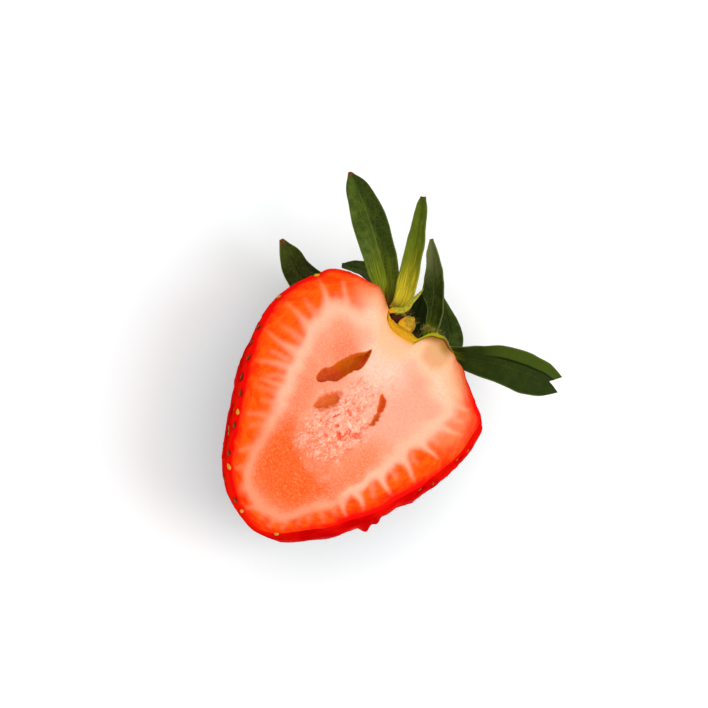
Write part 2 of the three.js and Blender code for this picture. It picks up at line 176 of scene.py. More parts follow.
# Seeds on or beside the knife's edge, as [degrees round the cut face, millimetres below it, how far
# they are laid bare], from 0, dark in its pit, to 1, golden, with less painted shade at its foot.
EDGE_SEEDS = [
    [164, 0.4, 0.5], [155, 0.8, 0], [145.1, 0.3, 1], [132, 0.6, 0], [180.2, 0.4, 0], [188, 1.1, 0],
    [196.5, 0.3, 0], [207, 1.3, 0], [216.8, 0.3, 0], [227.2, 0.1, 1], [234.1, 0.4, 0], [246.5, 0.4, 0],
    [252, 0.1, 1], [255.5, 2.6, 0], [265, 0.4, 0], [269.8, 0.1, 1], [285.7, 0.5, 1],
]

# The skin that shows past the lower edge has no seeds: degrees round the cut face, millimetres below it.
BARE_SKIN = {"from": 256, "to": 357, "below": 7}

# The swollen skin between pits that shows past the lower edge:
# [degrees round the cut face, millimetres below it, height, radius].
SWELLINGS = [[325.4, 5.5, 1.4, 1.1], [331.8, 5.5, 0.9, 0.95], [341, 6, 0.3, 1.3], [296, 3.5, 0.25, 2]]

# The other seeds: the spiral's first angle in radians, how far they stray as a share of the spacing
# between them, how much they crowd at tip and stem, the degrees from the tip past which none grow, and
# how far they keep from the cut and from the seeds on its edge.
SEED_SPIRAL = {
    "on_whole_fruit": 620, "first_turn": 0.9, "scatter": 0.22, "crowding": 0.5, "clear_of_calyx": 153,
    "below_cut": 0.9, "apart": 1.9,
}
# Seeds sit at this share of their pit's depth, and those on the knife's edge this much higher.
SEED_SEAT, EDGE_SEED_LIFT = 0.78, 0.22
# A seed's pit: its reach, its length over its width, its radius and how steep its wall is, and the
# radius and width of the lip round it.
PIT = {"reach": 3, "long": 1.2, "radius": 0.66, "steep": 2.4, "lip_at": 1.25, "lip_wide": 0.42}

# Sepals, in the solids' measures. spine: points [x, y, height over the cut face], base first.
# half: half-widths along the spine, evenly spaced. faces: the way that the inner side looks.
# curl: degrees that half the width bends round, at base and tip. notch: how far the tip is drawn back.
# base: share of the length that is yellow-green. dry: share of brown at the tip. dusty: pale specks.
# tone: from dark to green. rib: how pale the midrib is. shaded: the half with painted shade, 1 right, -1
# left; the other half has patches of painted sheen.
# tip_sheen: how strong the painted sheen on the outer end is. crease: where a margin is turned, as a share of
# the half-width, with a dark line of painted shade along the fold.
SEPALS = {
    "sepal_tall": {
        "spine": [
            [-7.4, 19.8, -2.9], [-9.4, 21.2, -2.4], [-11.2, 22.9, -1.5], [-14.4, 25.1, -0.8],
            [-19.4, 28.1, -0.3], [-25.1, 31.2, -0.6], [-30.6, 33.9, -2],
        ],
        "half": [1.2, 2.1, 2.8, 3.25, 3.4, 3.4, 3.15, 2.7, 2, 0.3],
        "faces": [0.1, -0.25, 1], "curl": [45, 16], "base": 0.36, "dry": 0.03, "dusty": 0.1,
        "tone": 0.85, "rib": 0.35, "shaded": 1, "slot": "sepal_green",
    },
    "sepal_curled": {
        "spine": [
            [-6.5, 20, -2.2], [-6.4, 22, -1.5], [-7.6, 24.8, -0.4], [-9.9, 28.5, 0.8],
            [-12.6, 32.6, 1.4], [-15.3, 36.6, 1.2], [-17.4, 39.6, 0],
        ],
        "half": [1.15, 1.7, 2.05, 2.25, 2.25, 2.05, 1.8, 1.55, 1.3, 0.6],
        "faces": [-0.2, -0.2, 1], "curl": [50, 75], "base": 0.56, "dry": 0.02, "dusty": 0.1,
        "tone": 0.95, "rib": 0.3, "slot": "sepal_yellow_green",
    },
    "sepal_folded": {
        "spine": [
            [1.4, 21.2, -9.6], [0.4, 23.4, -9.2], [-1.9, 27.6, -9.2],
            [-5, 31.9, -9.8], [-8.4, 35.5, -10.6], [-11.6, 38.7, -11.2],
        ],
        "half": [1.5, 2.3, 2.7, 2.6, 2.3, 1.9, 1.3, 0.3],
        "faces": [-0.1, -0.2, 1], "curl": [48, 80], "base": 0.22, "dry": 0.0, "dusty": 0.05,
        "tone": 0.45, "rib": 0.35, "shaded": -1, "tip_sheen": 0.8, "slot": "sepal_green",
    },
    "sepal_inner": {
        "spine": [
            [4.2, 21.2, -9.2], [5, 24.4, -10.4], [3.7, 27.6, -12.2],
            [0.5, 30.7, -14], [-3.1, 33.1, -15.2],
        ],
        "half": [1.4, 2.5, 2.7, 1.9, 1, 0.3],
        "faces": [0.3, -0.3, 1], "curl": [30, 20], "base": 0.05, "dry": 0.0, "dusty": 0.35,
        "tone": 0.6, "rib": 0.1, "shaded": -1, "slot": "sepal_green",
    },
    "sepal_notched": {
        "spine": [
            [5.6, 22.3, -4.6], [8, 23.2, -4], [10.8, 24.9, -3.2],
            [15, 27.4, -2.6], [20, 29.9, -2.8], [25.1, 32.9, -4.2],
        ],
        "half": [1.2, 2.1, 2.9, 3.5, 3.8, 3.8, 3.2, 1.5],
        "faces": [0.1, -0.25, 1], "curl": [35, 20], "notch": 2.2, "base": 0.08, "dry": 0.0,
        "dusty": 0.1, "tone": 0.26, "rib": 0.06, "crease": -0.36, "slot": "sepal_green",
    },
    "sepal_left_upper": {
        "spine": [[-8.6, 21, -6.5], [-11.4, 23.6, -7.4], [-15.6, 23.8, -7.6], [-19.7, 21.3, -7.2]],
        "half": [1, 2, 2.5, 2.4, 1.9, 0.5],
        "faces": [-0.3, 0.5, 0.9], "curl": [20, 25], "base": 0.1, "dry": 0.0, "dusty": 0.2,
        "tone": 0.6, "rib": 0.25, "slot": "sepal_green",
    },
    "sepal_left_lower": {
        "spine": [
            [-7.6, 21.3, -9.8], [-12.9, 21.6, -15.8], [-17, 19.2, -18.3], [-21.3, 17.2, -17.3],
            [-24.8, 16, -14], [-28.5, 16.2, -9.5], [-31.1, 16.6, -7],
        ],
        "half": [0.9, 1.5, 2.4, 3.2, 3.6, 3.5, 3.1, 2.4, 0.4],
        "faces": [0.1, 0.1, 1], "curl": [20, 14], "base": 0.1, "dry": 0.03, "dusty": 0.8,
        "tone": 0.6, "rib": 0.25, "slot": "sepal_green",
    },
}

# A dark sheet behind the stub of the stem, shaped as a blade in the sepals' measures: painted shadow in the
# deep gap between the sepals.
SHADOW_SHEET = {
    "spine": [[-1.8, 20, -6.5], [-2.9, 23, -7.5], [-4.1, 26, -8], [-5.2, 28.2, -8.2]],
    "half": [2.4, 2.8, 2.6, 1.9, 0.3], "faces": [-0.1, -0.2, 1], "curl": [20, 30], "base": 0.02,
    "dry": 0.0, "dusty": 0.0, "tone": 0.0, "rib": 0.0, "slot": "sepal_green",
}
# Side veins: pairs on a blade, how far they sweep forward, and how much they bend.
VEINS = {"pairs": 5, "sweep": 1.7, "bend": 0.8}

# The yellow-green strap that runs from the cup's cut edge up beside the curled sepal to a free claw:
# points [x, y, height over the cut face], and half-widths.
STRAP = {
    "line": [
        [-6.9, 19, -0.5], [-6.3, 20.1, -0.5], [-5.4, 20.9, -0.6], [-5, 22.3, -0.9], [-5.2, 23.8, -1.2],
        [-5.2, 25.2, -1.5], [-5.4, 27.5, -2.1],
    ],
    "half": [0.4, 0.6, 0.62, 0.52, 0.4, 0.24, 0.06],
}
# The two knobs of the stem's stub: the middle, as [x, y, height over the cut face], and radii.
STUB = [([-2.75, 19.2, -1.7], [1.55, 2.5, 2.7]), ([-4.6, 19.4, -3.2], [2.2, 2.2, 1.9])]
# The cup over the dish: the middle and radius of its edge and the waves round it (height, number,
# phase), how far it lies over the skin, and where and how much it is thicker under the stub.
CUP = {
    "x": 0.2, "radius": 8.1, "waves": [(0.55, 5, 0.6), (0.25, 11, 0)], "over_skin": 0.06,
    "thicker": 0.95, "thick_at": (-2, -0.6), "thick_radii": (2.7, 2.2), "thinnest": 0.12,
}
# Hairs: their number and radius, and the patches where they stand, the middle measured as above.
HAIRS = {"number": 280, "radius": 0.017}
COLLAR_PATCH = {"middle": [2.2, 21.1, -0.5], "half_size": [2.6, 0.5, -1.6], "arch": 1.2}
STUB_PATCH = {"middle": [-3.2, 20.9, -0.4], "half_size": [1.6, 0.5, -1.2], "arch": 0}
# Torn threads of the pith: how many are thrown, the points in each, the middle and half sizes of the
# patch that they lie on, and how clear of a hollow each must be.
THREADS = {
    "thrown": 80, "points": 7, "x": 0.7, "y": -3, "half_wide": 5, "half_long": 9.6, "clear": 0.4,
}

# The lamps: the way to each (right, up and back, as the camera sees it), distance and size in metres.
LAMPS = {"key": ((0.76, -0.1, 0.68), 0.46, 0.3), "fill": ((-0.4, -0.6, 0.7), 0.5, 0.35)}
ROOM_LIGHT = 0.95  # even, from all sides

# ---- Settings in the sidebar --------------------------------------------------------------------


def linear(red, green, blue):
    """A screen colour, 0 to 255 a channel, as the linear colour that a shader takes."""
    return tuple(
        c / 255 / 12.92 if c <= 10 else ((c / 255 + 0.055) / 1.055) ** 2.4
        for c in (red, green, blue)
    )


def colour(name, description, red, green, blue):
    return FloatVectorProperty(
        name=name, description=description, subtype="COLOR", size=3, min=0, max=1,
        default=linear(red, green, blue),
    )


def length(name, description, millimetres):
    return FloatProperty(
        name=name, description=description, unit="LENGTH", precision=5, min=0,
        default=millimetres * MM,
    )


class SkinSettings(bpy.types.PropertyGroup):
    red: colour("Skin red", "Skin over most of the fruit", 182, 1, 3)
    dark: colour("Skin dark", "Skin in the pits", 112, 0, 4)
    bright: colour("Skin bright", "Skin on the shoulders", 212, 12, 4)
    pit: length("Pit depth", "How far a seed's pit sinks into the skin", 0.55)
    lip: length("Lip height", "How far the skin swells between pits", 0.2)


class CutSettings(bpy.types.PropertyGroup):
    edge: colour("Edge", "The last millimetre inside the skin", 232, 3, 0)
    outer: colour("Outer flesh", "The redder rays of the outer flesh", 255, 52, 0)
    middle: colour("Middle flesh", "The outer flesh", 255, 92, 6)
    ring: colour("Ring", "The pale ring and its bundles", 254, 182, 152)
    pith: colour("Pith", "The flesh inside the ring", 252, 142, 106)
    tip: colour("Pith at the tip", "The flesh inside the ring towards the tip", 254, 88, 26)
    white: colour("Pale pith", "The palest flesh, below the stem", 252, 210, 190)
    hollow: colour("Hollows", "The floors of the pith's hollows", 208, 104, 14)
    relief: length("Relief", "Height of the torn pith", 0.26)


class SeedSettings(bpy.types.PropertyGroup):
    long: length("Length", "Of one seed", 1.3)
    wide: length("Width", "Of one seed", 0.8)
    stands: length("Stands", "How far a seed stands over its pit's floor", 0.38)
    gold: colour("Gold", "Most seeds", 172, 102, 14)
    brown: colour("Brown", "The darker seeds", 92, 46, 12)
    green: colour("Green", "The least ripe seeds", 136, 108, 26)


class CalyxSettings(bpy.types.PropertyGroup):
    gold: colour("Cut gold", "The cut edge of the cup", 204, 138, 8)
    lime: colour("Lime", "The calyx towards the sepals", 152, 152, 18)
    olive: colour("Olive", "The stub of the stem", 178, 150, 44)
    brown: colour("Brown", "The hollow beside the stub", 84, 40, 24)
    wall: length("Wall", "Thickness of the cup", 0.62)
    hair: length("Hair length", "Of the longest hairs", 1.5)


class SepalSettings(bpy.types.PropertyGroup):
    dark: colour("Dark green", "The darkest blades", 22, 32, 3)
    green: colour("Green", "Most of the blades", 72, 90, 22)
    lime: colour("Yellow green", "The bases of the blades", 128, 138, 8)
    vein: colour("Vein", "Midribs and side veins", 116, 128, 56)
    dry: colour("Dry", "Withered tips", 104, 60, 26)
    thick: length("Thickness", "Of a blade at its midrib", 0.55)


class StageSettings(bpy.types.PropertyGroup):
    floor: colour("Floor", "The plain floor", 250, 253, 253)
    lean: FloatProperty(
        name="Lean", description="Camera's lean from upright", subtype="ANGLE", default=math.radians(16)
    )
    turn: FloatProperty(
        name="Turn", description="Camera's turn about the upright", subtype="ANGLE",
        default=math.radians(15),
    )
    distance: length("Distance", "From the camera to the cut face", 450)
    key: FloatProperty(name="Key light", description="Its power", unit="POWER", default=0.88)
    fill: FloatProperty(name="Fill light", description="Its power", unit="POWER", default=0.16)


# ---- Shapes -------------------------------------------------------------------------------------


def smoothstep(x, low, high):
    t = np.clip((x - low) / (high - low), 0, 1)
    return t * t * (3 - 2 * t)


def cubic(t, start, end, start_slope, end_slope):
    """A cubic piece from start to end, with its slopes there, at shares t of the way."""
    a, b = t * t, t * t * t
    return (
        (2 * b - 3 * a + 1) * start + (b - 2 * a + t) * start_slope
        + (3 * a - 2 * b) * end + (b - a) * end_slope
    )


def along(rows, x):
    """A smooth value at each x through rows [x, value], by cubic pieces."""
    xs, ys = np.array(rows, float).T
    last = len(xs) - 1
    before, after = np.maximum(np.arange(last + 1) - 1, 0), np.minimum(np.arange(last + 1) + 1, last)
    slope = (ys[after] - ys[before]) / (xs[after] - xs[before])
    i = np.clip(np.searchsorted(xs, x, side="right") - 1, 0, last - 1)
    width = xs[i + 1] - xs[i]
    t = np.clip((x - xs[i]) / width, 0, 1)
    return cubic(t, ys[i], ys[i + 1], width * slope[i], width * slope[i + 1])


def evenly(values, x):
    """A smooth value at each x from 0 to 1 through evenly spaced values."""
    return along(np.column_stack([np.linspace(0, 1, len(values)), values]), x)


def smooth_line(points, count, closed=False):
    """count points, evenly spaced, on a smooth line through points, and the directions there."""
    p = np.array(points, float)
    before, after = (p[-1:], p[:2]) if closed else (2 * p[0] - p[1], 2 * p[-1] - p[-2])
    ring = np.vstack([before, p, after])
    step = np.sqrt(np.linalg.norm(np.diff(ring, axis=0), axis=1))[:, None]
    rise = np.diff(ring, axis=0) / step
    slope = rise[:-1] - (ring[2:] - ring[:-2]) / (step[:-1] + step[1:]) + rise[1:]
    t = np.linspace(0, 1, 41)[:-1, None]
    fine = [
        cubic(t, ring[i], ring[i + 1], step[i] * slope[i - 1], step[i] * slope[i])
        for i in range(1, len(ring) - 2)
    ]
    fine = np.vstack([*fine, ring[1 if closed else -2][None]])
    far = np.concatenate([[0], np.cumsum(np.linalg.norm(np.diff(fine, axis=0), axis=1))])
    wanted = np.linspace(0, far[-1], count, endpoint=not closed)
    return looked_up(wanted, far, fine), unit(looked_up(wanted, far, np.gradient(fine, axis=0)))


def looked_up(x, xs, points):
    """Points at each x, on straight lines between points at xs."""
    return np.stack([np.interp(x, xs, c) for c in points.T], 1)


def line_at(points, far):
    """Places and headings on a smooth line through points, at shares of its length."""
    steps = np.linspace(0, 1, LINE_STEPS)
    place, heading = smooth_line(points, LINE_STEPS)
    return looked_up(far, steps, place), unit(looked_up(far, steps, heading))


def unit(v):
    return v / np.maximum(np.linalg.norm(v, axis=-1, keepdims=True), 1e-12)


def scrambled(x):
    """A number between -1 and 1 that looks random, from the far digits of each sine."""
    s = np.sin(x) * 43758.5453
    return 2 * (s - np.floor(s)) - 1


def draw(n):
    """A repeatable draw between -1 and 1 for each number."""
    return scrambled(np.asarray(n, float) * 127.1 + 311.7)


def lumps(p):
    """Smooth noise between -1 and 1 at each point, with lumps about one unit across."""
    base = np.floor(p)
    f = p - base
    f = f * f * (3 - 2 * f)
    total = np.zeros(len(p))
    for corner in itertools.product((0, 1), repeat=p.shape[1]):
        c = np.array(corner)
        at_corner = scrambled((base + c) @ np.array([127.1, 311.7, 74.7])[: p.shape[1]])
        total += at_corner * np.prod(np.where(c, f, 1 - f), axis=-1)
    return total


def bare_radius(d):
    """The fruit's radius in each direction from HEART, without the cut rim's own shape."""
    x, y, z = d.T
    degrees = np.degrees(np.arccos(np.clip(-y, -1, 1)))
    across = np.maximum(np.hypot(x, z), 1e-9)
    right = (1 + x / across) / 2
    back = np.where(z < 0, (z / across) ** 2, 0)
    side = along(RIGHT_SIDE, degrees) * right + along(LEFT_SIDE, degrees) * (1 - right)
    drop = -np.degrees(np.arcsin(np.clip(z, -1, 1)))
    under_edge = drop + np.degrees(np.arcsin(CUT_ABOVE_HEART / side))
    low = smoothstep(under_edge, 0, SWELL_BAND["full"])
    low = low * (1 - smoothstep(drop, SWELL_BAND["fades"], SWELL_BAND["gone"]))
    swell = along(SWELL, np.degrees(np.arctan2(y, x)) % 360) * low
    radius = side * (1 - back) + along(BACK, degrees) * back + swell
    from_dish = np.hypot(x * radius - DISH["x"], z * radius - CUT_ABOVE_HEART - DISH["z"])
    in_dish = 1 - smoothstep(from_dish, DISH["floor"], DISH["rim"])
    return np.where(y < 0, radius, radius - DISH["depth"] * in_dish)


def rim_fit():
    """The rim's angles round the cut face, in order, and there its distance out across the cut, its
    radius over the bare fruit's, and the angle at which it stands over HEART."""
    place, _ = smooth_line(RIM, RIM_STEPS, closed=True)
    place = place[np.argsort(np.arctan2(place[:, 1], place[:, 0]))]
    at = np.column_stack([place, np.full(len(place), CUT_ABOVE_HEART)])
    radius = np.linalg.norm(at, axis=1)
    ratio, rise = radius / bare_radius(unit(at)), np.arcsin(CUT_ABOVE_HEART / radius)
    return np.arctan2(at[:, 1], at[:, 0]), np.linalg.norm(place, axis=1), ratio, rise


RIM_ANGLE, RIM_OUT, RIM_RATIO, RIM_RISE = rim_fit()


def round_rim(turn, values):
    """A value that is known round the rim, at angles round the cut face."""
    return np.interp(turn, RIM_ANGLE, values, period=2 * np.pi)


def skin_radius(d):
    """The skin's radius in each direction: the bare fruit, fitted to the cut rim near the knife."""
    turn, fitted = np.arctan2(d[:, 1], d[:, 0]), math.radians(14)
    under = round_rim(turn, RIM_RISE) - np.arcsin(np.clip(d[:, 2], -1, 1))
    return bare_radius(d) * (1 + (round_rim(turn, RIM_RATIO) - 1) * (1 - smoothstep(under, 0, fitted)))


def skin_place(degrees, below):
    """The direction of the skin at an angle round the cut face and a depth below it."""
    a, z = np.radians(np.atleast_1d(degrees)), CUT_ABOVE_HEART - np.atleast_1d(below)
    out = np.full(a.shape, float(MEAN_RADIUS))
    for _ in range(12):
        d = unit(np.stack([out * np.cos(a), out * np.sin(a), z], -1))
        out = np.sqrt(np.maximum(skin_radius(d) ** 2 - z ** 2, 1))
    return d


def seed_directions():
    """The seeds that grow below the cut: a spiral from tip to stem, and those along the knife's edge."""
    s, steps = SEED_SPIRAL, 720
    angle = np.pi * (np.arange(1, steps + 1) - 0.5) / steps
    crowd = 1 + s["crowding"] * np.cos(angle) ** 4
    held = along(BACK, np.degrees(angle)) ** 2 * np.sin(angle) * crowd
    held = np.concatenate([[0], np.cumsum(held)])
    n = np.arange(s["on_whole_fruit"])
    spacing = s["scatter"] * np.sqrt(4 * np.pi / s["on_whole_fruit"])
    from_tip = np.interp(held[-1] * (n + 0.5) / len(n), held, np.arange(steps + 1)) * np.pi / steps
    from_tip = np.abs(from_tip + spacing * draw(n))
    turn = s["first_turn"] + n * np.pi * (3 - np.sqrt(5))
    turn = turn + spacing * draw(n + 0.5) / np.maximum(np.sin(from_tip), 0.2)
    across = np.sin(from_tip)
    spiral = np.stack([across * np.cos(turn), -np.cos(from_tip), across * np.sin(turn)], -1)
    place = spiral * skin_radius(spiral)[:, None]
    below = CUT_ABOVE_HEART - place[:, 2]
    degrees = np.degrees(np.arctan2(place[:, 1], place[:, 0])) % 360
    bare = (degrees > BARE_SKIN["from"]) & (degrees < BARE_SKIN["to"]) & (below < BARE_SKIN["below"])
    grown = (below > s["below_cut"]) & (np.degrees(from_tip) < s["clear_of_calyx"]) & ~bare
    edge = skin_place(*np.array(EDGE_SEEDS)[:, :2].T)
    apart = np.linalg.norm(place[:, None] - edge * skin_radius(edge)[:, None], axis=2).min(1)
    return np.vstack([edge, spiral[grown & (apart > s["apart"])]])


def seed_axes(d):
    """Unit vectors towards the stem and sideways along the skin at each seed."""
    to_stem = unit(np.array([0, 1.0, 0]) - d * d[:, 1:2])
    return to_stem, np.cross(to_stem, d)


def skin_relief(d, skin):
    """Millimetres that the pits and the skin between them add in each direction, and how far in a pit."""
    pit, lip = skin.pit / MM, skin.lip / MM
    seeds = seed_directions()
    to_stem, sideways = seed_axes(seeds)
    radius = skin_radius(seeds)
    sunk, raised = np.zeros(len(d)), np.zeros(len(d))
    for k, seed in enumerate(seeds):
        near = np.nonzero(d @ seed > math.cos(PIT["reach"] / radius[k]))[0]
        a = (d[near] @ to_stem[k]) * radius[k]
        b = (d[near] @ sideways[k]) * radius[k]
        q = np.hypot(a / PIT["long"], b)
        deep, swollen = 1 + 0.25 * draw(k), 0.8 + 0.5 * draw(k + 0.3)
        sunk[near] = np.maximum(sunk[near], deep * np.exp(-((q / PIT["radius"]) ** PIT["steep"])))
        raised[near] += swollen * np.exp(-(((q - PIT["lip_at"]) / PIT["lip_wide"]) ** 2))
    raised = np.tanh(raised)
    broad = lumps(d * 9) * 0.12 + lumps(d * 22 + 7) * 0.07
    lift = broad + lip * raised * (1 - sunk) - pit * sunk
    for degrees, below, height, wide in SWELLINGS:
        middle = skin_place(degrees, below)[0]
        apart = np.arccos(np.clip(d @ middle, -1, 1)) * MEAN_RADIUS
        lift += height * np.exp(-((apart / wide) ** 2))
    return lift, sunk


def to_frame(p):
    """Points from HEART, in millimetres, as frame coordinates in metres."""
    return (np.asarray(p) + HEART) * MM


def outline_distance(x, y, outline):
    """Distance of each point to a closed outline, negative inside it."""
    a, _ = smooth_line(outline, OUTLINE_STEPS, closed=True)
    b = np.roll(a, -1, axis=0)
    p = np.stack([x, y], -1)[:, None]
    edge = (b - a)[None]
    t = np.clip(np.sum((p - a) * edge, -1) / np.sum(edge * edge, -1), 0, 1)
    apart = np.linalg.norm(p - a - t[..., None] * edge, axis=-1).min(1)
    crosses = (a[:, 1] > y[:, None]) != (b[:, 1] > y[:, None])
    rise = np.where(np.abs(b[:, 1] - a[:, 1]) < 1e-9, 1e-9, b[:, 1] - a[:, 1])
    at = a[:, 0] + (y[:, None] - a[:, 1]) / rise * (b[:, 0] - a[:, 0])
    inside = (crosses & (x[:, None] < at)).sum(1) % 2 == 1
    return np.where(inside, -apart, apart)


def ring_values(degrees):
    """The pale ring at angles round the cut face: its share, outward fade, red and inward fade."""
    rows = np.array(RING)
    degrees = np.asarray(degrees, float)
    degrees = np.where(degrees < rows[0, 0], degrees + 360, degrees)
    return [along(rows[:, [0, column]], degrees) for column in range(1, rows.shape[1])]


def bundle_mask(x, y):
    """How much of a pale bundle each point of the cut face holds, 0 to 1."""
    mask = np.zeros(len(x))
    for outer, reach, inner, strength in BUNDLES:
        ends = []
        for degrees, part in ((inner, ring_values([inner])[0][0] - 0.02), (outer, reach)):
            a = math.radians(degrees)
            ends.append(np.array([math.cos(a), math.sin(a)]) * round_rim(a, RIM_OUT) * part)
        (ax, ay), (bx, by) = ends
        span = math.hypot(bx - ax, by - ay)
        ux, uy = (bx - ax) / span, (by - ay) / span
        t = ((x - ax) * ux + (y - ay) * uy) / span
        off = (x - ax) * uy - (y - ay) * ux + 0.16 * np.sin(7 * t + outer)
        foot = np.clip(1 - t, 0, 1)
        half = 0.28 + 0.3 * foot + 1.7 * foot ** 5 + 0.3 * (1 - strength)
        inside = np.exp(-((off / half) ** 2))
        ends = smoothstep(t, -0.3, 0.05) * (1 - smoothstep(t, 0.75, 1.04))
        mask = np.maximum(mask, strength ** 0.9 * inside * ends * (1 - 0.2 * np.clip(t, 0, 1)))
    return mask


def torn_shreds(p):
    """Shreds and clefts of torn pith at each point of the cut face, -1 to 1."""
    bent = p + 0.35 * np.stack([lumps(p * 0.9 + 31), lumps(p * 0.9 + 57)], -1)
    flakes = 1.2 * lumps(bent * [1.5, 1.1] + 3) + 1.3 * np.abs(lumps(bent * [2.1, 1.7] + 11)) - 0.4
    return np.clip(flakes, -1, 1) * (0.7 + 0.3 * lumps(p * 0.6 + 2))


def sink_hollows(p, height):
    """Sinks PITH_HOLLOWS into the heights. How far each point lies outside them, in soft edges."""
    hollow = np.full(len(p), 9.0)
    for depth, ragged, soft, outline in PITH_HOLLOWS:
        d = outline_distance(*p.T, outline) + ragged * (lumps(p * 1.9) + 0.5 * lumps(p * 4.5 + 9))
        sunk = smoothstep(-d, -0.05, 0.5 + soft)
        floor = 0.72 + 0.28 * smoothstep(-d, 0.4, 1.8) + 0.06 * lumps(p * [1.6, 0.8] + 2)
        height = height * (1 - sunk) - depth * sunk * floor
        hollow = np.minimum(hollow, 0.1 * (d + soft - 0.1) / soft)
    return height, hollow


def sink_pits(p, height, shred):
    """Sinks PITH_PITS into the heights, and paints shade into them: it lowers the shreds there, which the cut
    face shows in the dark colour of its clefts.
    """
    for cx, cy, long, wide, tilt, depth in PITH_PITS:
        a = math.radians(tilt)
        x, y = p[:, 0] - cx, p[:, 1] - cy
        u, v = (x * math.cos(a) + y * math.sin(a)) / long, (y * math.cos(a) - x * math.sin(a)) / wide
        q = np.hypot(u, v) + 0.25 * lumps(p * 3)
        height = height - 0.6 * depth * (1 - smoothstep(q, 0.3, 1.2))
        shred = shred - 1.6 * (1 - smoothstep(q, 0.6, 1.4))
    return height, shred


def cut_face_fields(x, y, relief):
    """Heights of the cut face and the fields that its material reads, at each point."""
    turn, out, p = np.arctan2(y, x), np.hypot(x, y), np.stack([x, y], -1)
    degrees, round_it = np.degrees(turn) % 360, np.stack([np.cos(turn), np.sin(turn)], -1)
    rim = round_rim(turn, RIM_OUT)
    to_rim = rim - out
    share, fade, reddened, inward = ring_values(degrees)
    past_ring = out - share * rim + 0.45 * lumps(round_it * 7) + 0.2 * lumps(p * 1.1)
    fade = fade * (1 + 0.3 * lumps(round_it * 16 + 5))
    within = 0.6 * smoothstep(-past_ring, 0.4, 2.6 * inward)
    within += 0.4 * smoothstep(-past_ring, 0.4, 5 * inward)
    glow = (1 - smoothstep(past_ring, -0.3, fade + 0.1)) * (1 - within)
    bundles = bundle_mask(x, y) * smoothstep(past_ring, -1.5, 0.5)
    red = 0.55 * (1 - smoothstep(to_rim, 0.8, 3.6)) + 0.45 * (1 - smoothstep(to_rim, 0.1, 1.2))
    torn = np.hypot((x - TORN["x"]) / TORN["half_wide"], (y - TORN["y"]) / TORN["half_long"])
    torn = 1 - smoothstep(torn + 0.2 * lumps(p * 0.7), 0.5, 1.1)
    pale = np.maximum(
        smoothstep(degrees, 39, 56) * (1 - smoothstep(degrees, 113, 134)),
        0.25 * smoothstep(degrees, 15, 32) * (1 - smoothstep(degrees, 40, 55)),
    )
    shred = torn_shreds(p)
    # Millimetres over the cut: torn pith, swollen outer flesh, bundles, waves, and the rounded edge.
    height = relief * torn * shred
    height += 0.07 * smoothstep(past_ring, 0.5, 2) * (1 - smoothstep(to_rim, 1.2, 0.2))
    height += 0.05 * bundles + 0.035 * lumps(p * 0.45 + 5) + 0.014 * lumps(p * 2.3)
    height -= 0.3 * (1 - smoothstep(to_rim, 0, 0.9))
    height, hollow = sink_hollows(p, height)
    height, shred = sink_pits(p, height, shred)
    return height, {
        "past_ring": past_ring, "glow": glow, "bundle": bundles, "red": red * reddened,
        "to_rim": np.clip(to_rim, 0, 12), "hollow": np.clip(hollow, -4, 4), "torn": torn,
        "shred": shred, "pale": pale,
    }


# ---- Mesh helpers -------------------------------------------------------------------------------


def move_vertices(mesh, co):
    mesh.vertices.foreach_set("co", np.ascontiguousarray(co, float).ravel())
    mesh.update()


def write_field(mesh, name, values):
    """Keeps one number per vertex where the materials can read it."""
    field = mesh.attributes.new(name, "FLOAT", "POINT")
    field.data.foreach_set("value", np.asarray(values, np.float32))


def read_values(holder, name, count, kind):
    """All values of one property of a mesh's parts, as an array."""
    values = np.empty(count, kind)
    holder.foreach_get(name, values)
    return values


def put_verts(verts, points):
    """Moves bmesh vertices to points given from HEART, in millimetres."""
    for v, co in zip(verts, to_frame(points)):
        v.co = co


def add_grid(bm, columns, rows):
    """Adds a grid to a bmesh: its vertices, and their places along its two sides, -1 to 1."""
    verts = bmesh.ops.create_grid(bm, x_segments=columns, y_segments=rows, size=1)["verts"]
    return verts, *np.array([v.co[:2] for v in verts]).T


def mesh_from(bm, name):
    mesh = bpy.data.meshes.new(name)
    bm.to_mesh(mesh)
    bm.free()
    return mesh


def outward(mesh):
    """Turns every face of a closed mesh outwards."""
    bm = bmesh.new()
    bm.from_mesh(mesh)
    bmesh.ops.recalc_face_normals(bm, faces=bm.faces)
    bm.to_mesh(mesh)
    bm.free()


def add_piece(name, mesh, materials, slot, *nodes):
    """Puts a finished mesh in the scene: it rides on the fruit and stands for its CAD nodes."""
    for material in materials:
        mesh.materials.append(material)
    mesh.shade_smooth()
    piece = bpy.data.objects.new(name, mesh)
    bpy.context.scene.collection.objects.link(piece)
    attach(piece, "root")
    if nodes:
        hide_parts(*nodes)
    return piece


def strands(name, lines, radii):
    """A mesh of thin tapering strands, one along each line of points, given from HEART."""
    curve = bpy.data.curves.new(name, "CURVE")
    curve.dimensions = "3D"
    curve.bevel_depth = MM
    curve.bevel_resolution = 0
    for line, radius in zip(lines, radii):
        spline = curve.splines.new("POLY")
        spline.points.add(len(line) - 1)
        for k, (point, co) in enumerate(zip(spline.points, to_frame(line))):
            point.co = (*co, 1)
            point.radius = radius * (1 - 0.75 * k / (len(line) - 1))
    holder = bpy.data.objects.new(name, curve)
    mesh = bpy.data.meshes.new_from_object(holder)
    mesh.name = name
    bpy.data.objects.remove(holder)
    bpy.data.curves.remove(curve)
    return mesh


# ---- Material helpers ---------------------------------------------------------------------------


